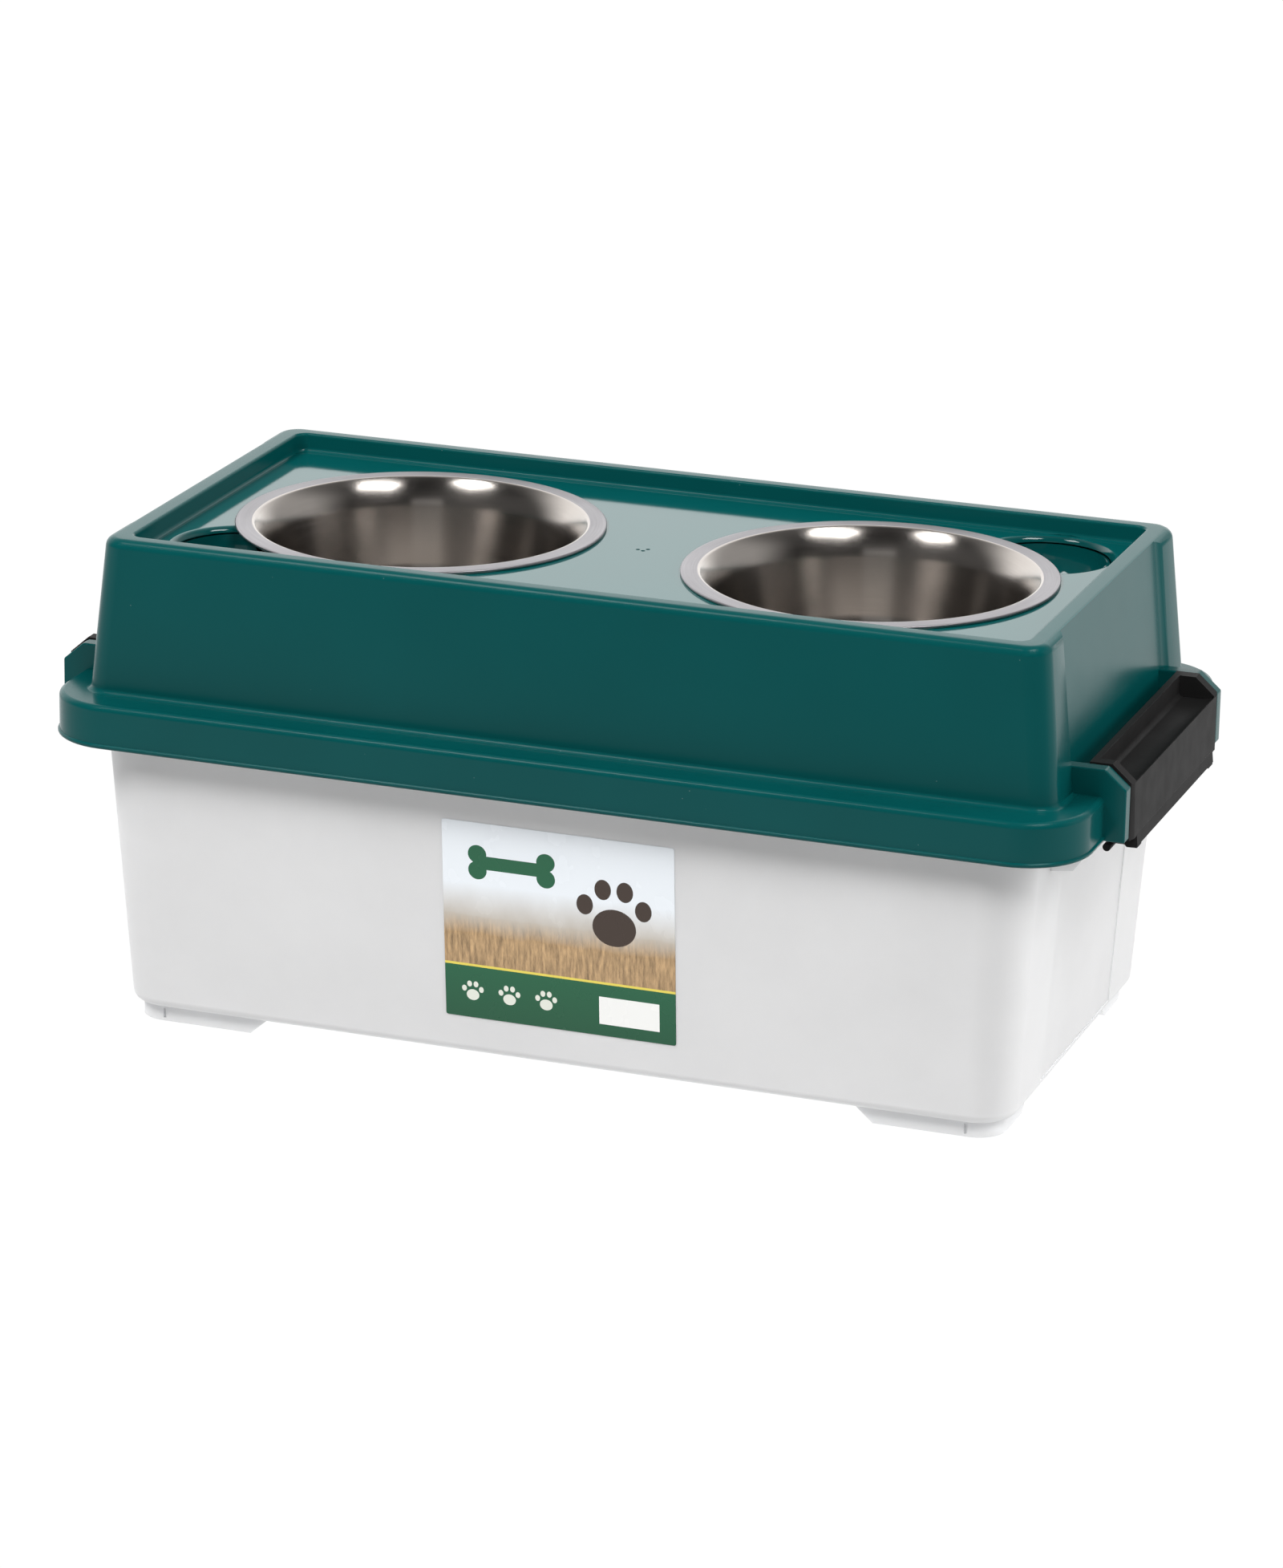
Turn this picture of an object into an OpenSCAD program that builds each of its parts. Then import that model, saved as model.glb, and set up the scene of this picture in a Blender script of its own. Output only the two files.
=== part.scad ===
// Elevated dog feeder with storage: a translucent food container, a green
// lid that carries two steel bowls, and a latch at each end.
// Millimetres. +X runs along the length, -Y is the label side, +Z is up.
// The origin is on the ground, under the middle of the feeder.

/* [Container] */
// Height of the sealing face above the ground
container_h = 163.2; // [130:0.2:220]
// Set-back of the end walls from the flange's bead, under the rim
container_end_set = 25; // [22:0.5:28]
// Set-back of the long walls from the flange's bead, under the rim
container_side_set = 10.6; // [9.6:0.2:14]
// How far each end wall leans out from the bottom to the rim
container_end_draft = 9.5; // [4:0.5:16]
// How far each long wall leans out from the bottom to the rim
container_side_draft = 12.8; // [6:0.2:20]
// Radius of the container's upright corners at the bottom
container_corner_r = 20; // [12:1:26]
// Radius of the container's upright corners under the rim
container_top_corner_r = 25; // [16:1:28]
// Thickness of the container's walls
container_wall = 2.2; // [1.6:0.1:3]
// Thickness of the container's floor
container_floor = 2.6; // [2:0.1:4]
// Radius of the rounding between the walls and the floor
bottom_edge_r = 5; // [3.5:0.5:8]
// Width of the shallow panel in each end wall
end_panel_w = 122; // [80:1:150]
// Depth of the shallow panel in each end wall
end_panel_depth = 0.7; // [0.3:0.1:0.9]

/* [Feet] */
// Height of the moulded feet
foot_h = 7.9; // [5:0.1:14]
// Length of each foot along the container
foot_l = 63; // [40:1:90]
// Length of each foot across the container
foot_w = 40; // [30:1:60]
// Thickness of a foot's walls
foot_leg = 11; // [6:1:16]
// Set-back of the feet from the container's walls
foot_inset = 5; // [3.5:0.5:8]
// Run of the slope at a foot's ends
foot_slope = 9; // [4:1:14]
// Distance of the slot in a foot from the end of the container's bottom
foot_slot_set = 22; // [18:1:30]
// Width of the slot in a foot
foot_slot_w = 1.4; // [1:0.1:2]

/* [Container rim] */
// Thickness of the rim's flat top and of its turned-down lip
rim_t = 2.4; // [1.8:0.1:3]
// Height of the turned-down lip
rim_lip_h = 11; // [8:0.5:13]
// Clearance between the rim and the lid's skirt
rim_gap = 0.8; // [0.5:0.1:1.5]
// Height of the keeper that the latch's bead snaps under
keeper_h = 17; // [15:0.5:17.4]
// Thickness of the brackets under the keeper
bracket_t = 2.5; // [2:0.1:4]
// Drop of the brackets below the sealing face
bracket_drop = 35; // [28:1:45]
// Reach of a bracket's lower edge from the end wall
bracket_toe = 12; // [6:1:14]

/* [Gasket] */
// Height of the gasket
gasket_h = 4.4; // [3:0.1:6]
// Width of the gasket
gasket_w = 5; // [3.5:0.1:5.4]
// Set-back of the gasket's middle from the container's rim, front and back
gasket_set = 4; // [3.8:0.1:4.6]
// Set-back of the gasket's middle from the container's rim at the ends
gasket_end_set = 8; // [6.5:0.5:9]
// Height of the ribs that hold the gasket
gasket_rib_h = 2.6; // [1.5:0.1:2.8]
// Thickness of the ribs that hold the gasket
gasket_rib_t = 1.2; // [0.8:0.1:1.2]
// Clearance between the gasket and its ribs
gasket_gap = 0.2; // [0.1:0.1:0.4]

/* [Lid flange] */
// Length of the lid over the flange's bead
flange_l = 530; // [526:1:536]
// Width of the lid over the flange's bead
flange_w = 284.2; // [282:0.2:290]
// Radius of the flange's corners
flange_corner_r = 34; // [28:1:38]
// Height of the skirt, bead to shelf
skirt_h = 21.8; // [20:0.2:26]
// Thickness of the skirt
skirt_t = 2.2; // [1.8:0.1:2.6]
// Thickness of the shelf
shelf_t = 2.4; // [2:0.1:3]
// Radius of the rounding between shelf and skirt
shelf_edge_r = 3; // [2:0.5:5]
// How far the bead stands out from the skirt
bead_out = 0.9; // [0.4:0.1:1.4]
// Height of the bead
bead_h = 2.4; // [1.6:0.1:4]

/* [Lid body] */
// Set-back of the raised body's foot from the flange's bead, at the ends
body_end_set = 16.4; // [14.4:0.2:18]
// Set-back of the raised body's foot from the flange's bead, front and back
body_side_set = 21.5; // [18:0.5:24]
// How far each end wall leans in from the shelf to the top
body_end_draft = 7.8; // [4:0.2:9]
// How far each long wall leans in from the shelf to the top
body_side_draft = 3.3; // [2:0.1:5]
// Height of the raised body above the shelf
body_h = 78; // [76:1:110]
// Radius of the raised body's upright corners
body_corner_r = 12; // [8:0.5:14]
// Thickness of the lid's walls
lid_wall = 2.2; // [1.6:0.1:2.6]
// Radius of the rim's outer edge
rim_outer_r = 4.5; // [3:0.5:5]
// Radius of the rim's inner edge
rim_inner_r = 1.5; // [0.5:0.5:2]
// Radius of the fillet where the body meets the shelf
body_fillet_r = 2.5; // [1:0.5:4]
// Depth of the recess in each end wall
recess_depth = 3; // [1:0.5:3.5]
// How far the recess reaches past the latch
recess_margin = 3.1; // [1:0.1:5]
// Run of the slanted sides of the recess
recess_slant = 6; // [2:1:8]

/* [Tray] */
// Width of the rim at the ends of the tray
rim_end_w = 12.3; // [10:0.1:14]
// Width of the rim in front of and behind the tray
rim_side_w = 10.9; // [9:0.1:11.5]
// Depth of the tray below the rim
tray_depth = 9.4; // [6:0.2:16]
// Radius of the tray's corners
tray_corner_r = 6; // [4:0.5:10]
// Radius of the fillet between the tray's floor and walls
tray_fillet_r = 2; // [1:0.5:2.5]
// Thickness of the tray's floor
tray_floor = 2.4; // [2:0.1:3]
// Radius of the gate mark in the middle of the tray
gate_r = 2.5; // [1.5:0.5:4]

/* [Bowls] */
// Diameter of the bowls over the rim
bowl_rim_d = 186; // [180:1:192]
// Diameter of a bowl's mouth, inside the flat rim
bowl_mouth_d = 166; // [160:1:170]
// Diameter of a bowl's wall where it turns into the base
bowl_base_d = 140; // [120:1:150]
// Height of a bowl
bowl_h = 58; // [45:1:66]
// Height of a bowl's rolled edge
bowl_roll_h = 1.8; // [1.8:0.1:4]
// Radius between a bowl's wall and base
bowl_base_r = 20; // [12:1:26]
// Radius between a bowl's wall and its flat rim, outside
bowl_lip_r = 2.5; // [1:0.5:4]
// Thickness of the bowls' steel
bowl_t = 0.9; // [0.6:0.1:1.2]
// How far the bowls' middles lie past the quarter points of the tray
bowl_out = 3.75; // [1:0.25:5]

/* [Wells] */
// Clearance between a bowl and its well
well_gap = 2; // [1:0.5:3]
// Thickness of the wells' walls
well_wall = 2; // [1.5:0.1:2.5]
// Rounding of the edge where a well opens in the tray
well_edge_r = 1.5; // [0.5:0.5:2]
// Radius of a finger scoop
scoop_r = 32; // [24:1:33]
// Distance from a bowl's middle to its scoop's middle
scoop_reach = 98.3; // [90:0.1:100]
// Direction of the scoop, from the length towards the width
scoop_angle = 45.8; // [42:0.2:48]
// Depth of a finger scoop
scoop_depth = 24; // [14:1:34]
// Rounding at the bottom of a scoop
scoop_bottom_r = 15; // [8:1:20]
// Narrowing of a scoop from its edge to its bottom
scoop_draft = 2; // [0:0.5:4]

/* [Ears] */
// Thickness of an ear
ear_t = 8; // [7:0.5:10]
// Height of the ears above the shelf
ear_rise = 13.5; // [12.5:0.5:20]
// How far the ears stand out past the flange's bead
ear_out = 9.6; // [8:0.2:14]
// Run of the slanted corner of an ear
ear_chamfer_x = 10.6; // [6:0.2:12]
// Drop of the slanted corner of an ear
ear_chamfer_z = 9.2; // [6:0.2:11]

/* [Latches] */
// Length of a latch, between its ears
latch_l = 157.8; // [140:0.2:170]
// Clearance between a latch and each ear
latch_gap = 0.6; // [0.4:0.1:1]
// Thickness of a latch's walls
latch_wall = 2.4; // [2:0.1:3]
// How far a latch stands proud of its ears
latch_proud = 0.9; // [0.4:0.1:1.5]
// Width of the strip along the grip's inner side
latch_strip = 3.2; // [2.6:0.2:4]
// Depth from the front of a latch to its inner face
latch_depth = 21.7; // [20.5:0.1:22]
// Depth of the finger grip
grip_depth = 10.8; // [8:0.2:11]
// Length of the finger grip
grip_l = 144; // [110:1:146]
// Length of the lower part of a latch, below the ears' ends
latch_low_l = 140; // [100:1:146]
// Radius of the bead along a latch's lower edge
latch_bead_r = 2; // [1.6:0.1:2.2]
// Clearance between the bead and the keeper
latch_bead_gap = 0.4; // [0.3:0.1:0.8]
// Length of the lugs at the ends of the lower part
latch_lug_l = 8; // [4:1:12]
// Length of the shallow slant at the ends of a latch's front
latch_slant_l = 4.5; // [2:0.5:6]
// Depth of the shallow slant at the ends of a latch's front
latch_slant_t = 1; // [0.4:0.1:1.2]
// Radius of the hinge pins
pin_r = 2.5; // [2:0.1:3]
// Radial clearance of the hinge pins
pin_gap = 0.05; // [0.02:0.01:0.09]
// Length of the hinge pins
pin_l = 4.6; // [3:0.1:5.5]
// Height of the hinge line below the top of the ears
pin_drop = 4; // [3.8:0.1:4.5]

/* [Label] */
// Width of the label
label_l = 119.5; // [80:0.5:160]
// Height of the label
label_h = 104; // [60:1:115]
// Thickness of the label
label_t = 0.25; // [0.15:0.05:0.4]
// Distance from the container's bottom up to the label
label_up = 20; // [10:1:30]
// Offset of the label's middle from the container's middle
label_x = 4.5; // [-60:0.5:60]

/* [Hidden] */

// Steps in a quarter turn: upright corners, edge roundings and revolved forms
corner_steps = 8;
edge_steps = 5;
bowl_steps = 8;
scoop_sides = 40;
$fn = 96;

// How far a cut runs past what it cuts, and how far a piece runs into the one that carries it
past = 10;
sink = 0.5;

// Heights
shelf_z = container_h + gasket_h;
shelf_top = shelf_z + shelf_t;
top_z = shelf_top + body_h;
tray_z = top_z - tray_depth;
skirt_z = shelf_top - skirt_h;
wall_h = container_h - foot_h;

// Plan sizes, worked out inwards from the flange
container_top_l = flange_l - 2 * container_end_set;
container_top_w = flange_w - 2 * container_side_set;
container_bottom_l = container_top_l - 2 * container_end_draft;
container_bottom_w = container_top_w - 2 * container_side_draft;
body_foot_l = flange_l - 2 * body_end_set;
body_foot_w = flange_w - 2 * body_side_set;
body_top_l = body_foot_l - 2 * body_end_draft;
body_top_w = body_foot_w - 2 * body_side_draft;
tray_l = body_top_l - 2 * rim_end_w;
tray_w = body_top_w - 2 * rim_side_w;
recess_w = latch_l + 2 * recess_margin;
bowl_pitch = tray_l / 2 + 2 * bowl_out;

// The container's rim, inside the lid's skirt
rim_l = flange_l - 2 * (bead_out + skirt_t + rim_gap);
rim_w = flange_w - 2 * (bead_out + skirt_t + rim_gap);
rim_corner_r = flange_corner_r - bead_out - skirt_t - rim_gap;
keeper_x = rim_l / 2;

// Ears and latches
ear_in_y = latch_l / 2 + latch_gap;
ear_x = flange_l / 2 + ear_out;
ear_top = shelf_top + ear_rise;
ear_base_inset = recess_depth + lid_wall / 2;
latch_x = ear_x + latch_proud;
latch_in_x = latch_x - latch_depth;
latch_top = ear_top + 0.5;
latch_z = skirt_z - 2.2;
latch_lean = 0.4;
latch_toe = 1;
pin_x = latch_in_x + 4.4;
pin_z = ear_top - pin_drop;
bead_x = keeper_x + latch_bead_gap + latch_bead_r;
bead_z = skirt_z - 6;

// Bowls and wells
bowl_z = tray_z;
bowl_top = bowl_z + bowl_roll_h;
bowl_bottom = bowl_top - bowl_h;
well_r = bowl_mouth_d / 2 + well_gap + bowl_t;
well_base_r = bowl_base_d / 2 + well_gap + bowl_t;
well_z = bowl_bottom - well_gap / 2;

// Points along an arc of radius r about the point c
function arc(c, r, from, to, steps) =
    [for (i = [0:steps]) let (a = from + (to - from) * i / steps) c + r * [cos(a), sin(a)]];

// A rounded rectangle's outline, anticlockwise
function rounded(l, w, r) = concat(
    arc([l / 2 - r, w / 2 - r], r, 0, 90, corner_steps),
    arc([r - l / 2, w / 2 - r], r, 90, 180, corner_steps),
    arc([r - l / 2, r - w / 2], r, 180, 270, corner_steps),
    arc([l / 2 - r, r - w / 2], r, 270, 360, corner_steps));

// A section of a loft at height z: a rounded rectangle, or a disc of scoop_sides sides
function section(z, l, w, r) = [for (p = rounded(l, w, max(r, 0.4))) [p.x, p.y, z]];
function disc(z, r) = [for (i = [0:scoop_sides - 1]) let (a = 360 * i / scoop_sides)
    [r * cos(a), r * sin(a), z]];

// Sections of a wall that leans evenly between two heights, seen at height z
function lean(z, z0, z1, v0, v1) = v0 + (v1 - v0) * (z - z0) / (z1 - z0);

// A solid through sections of as many points each, from the lowest section up
module loft(sections) {
    m = len(sections[0]);
    points = [for (s = sections) each s];
    last = (len(sections) - 1) * m;
    sides = [for (k = [0:len(sections) - 2]) for (i = [0:m - 1]) let (j = (i + 1) % m)
        [k * m + i, (k + 1) * m + i, (k + 1) * m + j, k * m + j]];
    polyhedron(points, concat(
        [[for (i = [0:m - 1]) i]],
        [[for (i = [m - 1:-1:0]) last + i]],
        sides));
}

// A ring of even height between two rounded rectangles
module ring(l, w, r, t, z, h) {
    translate([0, 0, z]) linear_extrude(h) difference() {
        polygon(rounded(l, w, r));
        polygon(rounded(l - 2 * t, w - 2 * t, max(r - t, 0.5)));
    }
}

// A shape drawn in X and Z, drawn out along Y between y0 and y1
module along_y(y0, y1, points) {
    translate([0, y1, 0]) rotate([90, 0, 0]) linear_extrude(y1 - y0) polygon(points);
}

// A copy on the other side of the feeder, front to back
module front_and_back() {
    children();
    mirror([0, 1, 0]) children();
}

// A copy at the other end of the feeder
module both_ends() {
    children();
    mirror([1, 0, 0]) children();
}

// ---- Container ----

function wall_l(z) = lean(z, foot_h, container_h, container_bottom_l, container_top_l);
function wall_w(z) = lean(z, foot_h, container_h, container_bottom_w, container_top_w);
function wall_r(z) = lean(z, foot_h, container_h, container_corner_r, container_top_corner_r);

// The container's walls, moved in by t, from a rounded bottom edge at z0
module container_block(t, z0, z1) {
    e = max(bottom_edge_r - t, 1);
    bottom = [for (i = [0:edge_steps]) let (a = 90 * i / edge_steps, z = z0 + e * (1 - cos(a)),
        s = t + e * (1 - sin(a))) section(z, wall_l(z) - 2 * s, wall_w(z) - 2 * s, wall_r(z) - s)];
    loft(concat(bottom, [section(z1, wall_l(z1) - 2 * t, wall_w(z1) - 2 * t, wall_r(z1) - t)]));
}

// One foot's plan is an L with sloped ends and a slot in its long side; this is the one at +X +Y
module foot() {
    x1 = container_bottom_l / 2 - foot_inset;
    y1 = container_bottom_w / 2 - foot_inset;
    over = foot_h + sink;
    slope = foot_slope * over / foot_h;
    difference() {
        intersection() {
            linear_extrude(over)
                polygon(rounded(2 * x1, 2 * y1, container_corner_r - foot_inset));
            union() {
                along_y(y1 - foot_leg, y1 + 1, [[x1 - foot_l, 0], [x1 + 1, 0],
                    [x1 + 1, over], [x1 - foot_l - slope, over]]);
                translate([x1 - foot_leg, 0, 0]) rotate([90, 0, 90]) linear_extrude(foot_leg + 1)
                    polygon([[y1 - foot_w, 0], [y1 + 1, 0], [y1 + 1, over], [y1 - foot_w - slope, over]]);
            }
        }
        translate([container_bottom_l / 2 - foot_slot_set, y1 - foot_slot_w, foot_slot_w])
            cube([foot_slot_w, past, foot_h - 2 * foot_slot_w]);
    }
}

// The bracket that ties the keeper to the end wall
module bracket() {
    z0 = container_h - bracket_drop;
    x0 = wall_l(z0) / 2 - container_wall / 2;
    x1 = keeper_x - sink;
    y0 = ear_in_y + sink;
    z1 = container_h - rim_t / 2;
    along_y(y0, y0 + bracket_t, [[x0, z0], [x0 + bracket_toe, z0 + bracket_toe / 8],
        [x1, container_h - keeper_h], [x1, z1], [x0, z1]]);
}

// The shallow panel that is let into an end wall
module end_panel() {
    angle = atan((container_top_l - container_bottom_l) / 2 / wall_h);
    translate([container_bottom_l / 2, 0, foot_h]) rotate([0, angle, 0])
        translate([-end_panel_depth, -end_panel_w / 2, bottom_edge_r])
            cube([past, end_panel_w, wall_h - bottom_edge_r - rim_t - rim_lip_h]);
}

module container() {
    color([0.9, 0.92, 0.93, 0.7]) difference() {
        union() {
            difference() {
                container_block(0, foot_h, container_h - rim_t / 2);
                both_ends() end_panel();
            }
            ring(rim_l, rim_w, rim_corner_r, (rim_w - container_top_w) / 2 + container_wall,
                 container_h - rim_t, rim_t);
            both_ends() translate([container_top_l / 2 - container_wall, -rim_w / 2 + rim_corner_r,
                container_h - rim_t])
                cube([(rim_l - container_top_l) / 2 + container_wall - 1, rim_w - 2 * rim_corner_r, rim_t]);
            ring(rim_l, rim_w, rim_corner_r, rim_t, container_h - rim_lip_h, rim_lip_h);
            both_ends() along_y(-ear_in_y, ear_in_y, [[keeper_x - rim_t, container_h - keeper_h],
                [keeper_x, container_h - keeper_h], [keeper_x, container_h - rim_lip_h],
                [keeper_x - rim_t, container_h - rim_lip_h]]);
            both_ends() front_and_back() bracket();
            both_ends() front_and_back() foot();
        }
        container_block(container_wall, foot_h + container_floor, container_h + 1);
    }
}

module front_label() {
    angle = atan((container_top_w - container_bottom_w) / 2 / wall_h);
    color("palegreen") translate([label_x, -container_bottom_w / 2, foot_h]) rotate([angle, 0, 0])
        translate([-label_l / 2, -label_t, label_up]) cube([label_l, label_t, label_h]);
}

// ---- Lid ----

function body_l(z) = lean(z, shelf_top, top_z, body_foot_l, body_top_l);
function body_w(z) = lean(z, shelf_top, top_z, body_foot_w, body_top_w);

// The outside of the raised body: fillet at its foot, leaning walls, rounded top edge
module body_outside() {
    f = body_fillet_r;
    e = rim_outer_r;
    foot = [for (i = [0:edge_steps]) let (a = 90 * i / edge_steps, z = shelf_top + f * (1 - cos(a)),
        s = f * (1 - sin(a))) section(z, body_l(z) + 2 * s, body_w(z) + 2 * s, body_corner_r + s)];
    top = [for (i = [0:edge_steps]) let (a = 90 * i / edge_steps, z = top_z - e * (1 - sin(a)),
        s = e * (1 - cos(a))) section(z, body_l(z) - 2 * s, body_w(z) - 2 * s, body_corner_r - s)];
    base = section(shelf_z, body_l(shelf_top) + 2 * f, body_w(shelf_top) + 2 * f, body_corner_r + f);
    loft(concat([base], foot, top));
}

// The hollow under the raised body, rounded at the top as the outside is
module body_inside() {
    t = lid_wall;
    z0 = shelf_z - 1;
    e = rim_outer_r - t;
    r = body_corner_r - t;
    top = [for (i = [0:edge_steps]) let (a = 90 * i / edge_steps, z = top_z - t - e * (1 - sin(a)),
        s = t + e * (1 - cos(a))) section(z, body_l(z) - 2 * s, body_w(z) - 2 * s, r + t - s)];
    loft(concat([section(z0, body_l(z0) - 2 * t, body_w(z0) - 2 * t, r)], top));
}

// The recess in one end wall, made deeper and wider by t for the inner side of the wall
module end_recess(t) {
    angle = atan((body_foot_l - body_top_l) / 2 / body_h);
    half = recess_w / 2 + t;
    spread = recess_slant * past / recess_depth;
    translate([body_foot_l / 2, 0, shelf_top]) rotate([0, -angle, 0])
        translate([-recess_depth - t, 0, -past]) linear_extrude(body_h + 2 * past)
            polygon([[0, -half], [past, -half - spread], [past, half + spread], [0, half]]);
}

// The shelf and its skirt, with the bead along the bottom edge
module flange_outside() {
    l = flange_l - 2 * bead_out;
    w = flange_w - 2 * bead_out;
    r = flange_corner_r - bead_out;
    e = shelf_edge_r;
    bead = [section(skirt_z, l + bead_out, w + bead_out, r + bead_out / 2),
            section(skirt_z + bead_h / 4, flange_l, flange_w, flange_corner_r),
            section(skirt_z + bead_h * 3 / 4, flange_l, flange_w, flange_corner_r),
            section(skirt_z + bead_h, l, w, r)];
    top = [for (i = [0:edge_steps]) let (a = 90 * i / edge_steps, s = e * (1 - cos(a)))
        section(shelf_top - e * (1 - sin(a)), l - 2 * s, w - 2 * s, r - s)];
    loft(concat(bead, top));
}

module flange_inside() {
    t = bead_out + skirt_t;
    translate([0, 0, skirt_z - 1]) linear_extrude(shelf_z - skirt_z + 1)
        polygon(rounded(flange_l - 2 * t, flange_w - 2 * t, flange_corner_r - t));
}

// The sheet under the tray, and the tray itself, which is cut out of it
module tray_pan() {
    l = tray_l + 2 * lid_wall;
    w = tray_w + 2 * lid_wall;
    r = tray_corner_r + lid_wall;
    loft([section(tray_z - tray_floor, l, w, r), section(top_z - lid_wall / 2, l, w, r)]);
}

module tray() {
    f = tray_fillet_r;
    e = rim_inner_r;
    low = [for (i = [0:edge_steps]) let (a = 90 * i / edge_steps, s = f * (1 - sin(a)))
        section(tray_z + f * (1 - cos(a)), tray_l - 2 * s, tray_w - 2 * s, tray_corner_r - s)];
    high = [for (i = [0:edge_steps]) let (a = 90 * i / edge_steps, s = e * (1 - cos(a)))
        section(top_z - e * (1 - sin(a)), tray_l + 2 * s, tray_w + 2 * s, tray_corner_r + s)];
    above = section(top_z + 2, tray_l + 2 * e, tray_w + 2 * e, tray_corner_r + e);
    loft(concat(low, high, [above]));
}

// Half the outline of a bowl's well, moved out by t
function cup(t) = concat([[0, well_z - t]],
    arc([well_base_r - bowl_base_r, well_z + bowl_base_r], bowl_base_r + t, -90, 0, edge_steps),
    t > 0 ? [[well_r + t, tray_z - tray_floor / 2], [0, tray_z - tray_floor / 2]]
          : [[well_r, tray_z - well_edge_r], [well_r + well_edge_r, tray_z],
             [well_r + well_edge_r, tray_z + 1], [0, tray_z + 1]]);

// A finger scoop beside a well, moved out by t
module scoop(t) {
    f = scoop_bottom_r;
    z = tray_z - scoop_depth + f;
    low = [for (i = [0:edge_steps + 1]) let (a = 90 * i / (edge_steps + 1))
        disc(z - (f + t) * cos(a), scoop_r - scoop_draft - f + (f + t) * sin(a))];
    high = t > 0 ? [disc(tray_z - tray_floor / 2, scoop_r + t)]
                 : [disc(tray_z - well_edge_r, scoop_r), disc(tray_z, scoop_r + well_edge_r),
                    disc(tray_z + 1, scoop_r + well_edge_r)];
    rotate([0, 0, scoop_angle]) translate([scoop_reach, 0, 0]) loft(concat(low, high));
}

// The well and its finger scoop at +X, moved out by t
module well(t) {
    translate([bowl_pitch / 2, 0, 0]) {
        rotate_extrude() polygon(cup(t));
        scoop(t);
    }
}

// An ear is a plate from the end wall to past the flange, beside the latch
module ear() {
    x0 = body_l(ear_top) / 2 - ear_base_inset;
    x1 = flange_l / 2 - bead_out - skirt_t;
    difference() {
        along_y(ear_in_y, ear_in_y + ear_t, [[x0, shelf_z], [x0, ear_top], [ear_x - ear_chamfer_x, ear_top],
            [ear_x, ear_top - ear_chamfer_z], [ear_x, skirt_z], [x1, skirt_z], [x1, shelf_z]]);
        translate([pin_x, ear_in_y - 1, pin_z]) rotate([-90, 0, 0])
            cylinder(r = pin_r + pin_gap, h = pin_l + 1 + latch_gap);
    }
}

// The gap in the skirt through which the latch reaches the container's rim
module latch_notch() {
    translate([keeper_x - rim_t, -ear_in_y, skirt_z - 1])
        cube([2 * past, 2 * ear_in_y, container_h - skirt_z + 1]);
}

// The ribs under the shelf that hold the gasket from both sides
module gasket_ribs() {
    in_t = gasket_w / 2 + gasket_gap;
    out_t = in_t + gasket_rib_t;
    z = shelf_z - gasket_rib_h;
    difference() {
        gasket_band(out_t, z, gasket_rib_h + shelf_t / 2);
        gasket_band(in_t, z - 1, gasket_rib_h + shelf_t * 2);
    }
}

// A band of half-width t along the gasket's middle line
module gasket_band(t, z, h) {
    l = rim_l - 2 * gasket_end_set;
    w = rim_w - 2 * gasket_set;
    r = rim_corner_r - gasket_set;
    ring(l + 2 * t, w + 2 * t, r + t, 2 * t, z, h);
}

module lid() {
    color([0.03, 0.31, 0.3]) difference() {
        union() {
            difference() {
                union() {
                    difference() {
                        body_outside();
                        both_ends() end_recess(0);
                    }
                    flange_outside();
                }
                flange_inside();
                difference() {
                    body_inside();
                    both_ends() end_recess(lid_wall);
                }
                both_ends() latch_notch();
            }
            tray_pan();
            for (side = [0, 180]) rotate([0, 0, side]) well(well_wall);
            both_ends() front_and_back() ear();
            gasket_ribs();
        }
        tray();
        for (side = [0, 180]) rotate([0, 0, side]) well(0);
        translate([0, 0, tray_z - 0.4]) cylinder(r = gate_r, h = 1, $fn = 24);
    }
}

module gasket() {
    color("dimgray") gasket_band(gasket_w / 2, container_h, gasket_h);
}

// ---- Bowls ----

// A steel bowl: rolled edge, flat rim, a wall whose lean is tangent to both roundings, and a flat base
module bowl(x) {
    rim_r = bowl_rim_d / 2;
    mouth_r = bowl_mouth_d / 2;
    base_r = bowl_base_d / 2;
    f = bowl_base_r;
    roll_r = bowl_roll_h / 2;
    base_c = [base_r - f, bowl_bottom + f];
    lip_c = [mouth_r + bowl_lip_r, bowl_top - bowl_t - bowl_lip_r];
    run = lip_c - base_c;
    lean = atan2(run.x, run.y) - asin((f + bowl_lip_r) / norm(run));
    outside = concat(
        [[0, bowl_bottom]],
        arc(base_c, f, -90, -lean, bowl_steps),
        arc(lip_c, bowl_lip_r, 180 - lean, 90, edge_steps),
        [[rim_r - roll_r - bowl_t, bowl_top - bowl_t], [rim_r - roll_r - bowl_t, bowl_z]]);
    inside = concat(
        arc([rim_r - roll_r, bowl_top - roll_r], roll_r, -90, 90, bowl_steps),
        arc(lip_c, bowl_lip_r + bowl_t, 90, 180 - lean, edge_steps),
        arc(base_c, f - bowl_t, -lean, -90, bowl_steps),
        [[0, bowl_bottom + bowl_t]]);
    color("silver") translate([x, 0, 0]) rotate_extrude($fn = 128) polygon(concat(outside, inside));
}

// ---- Latches ----

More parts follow.
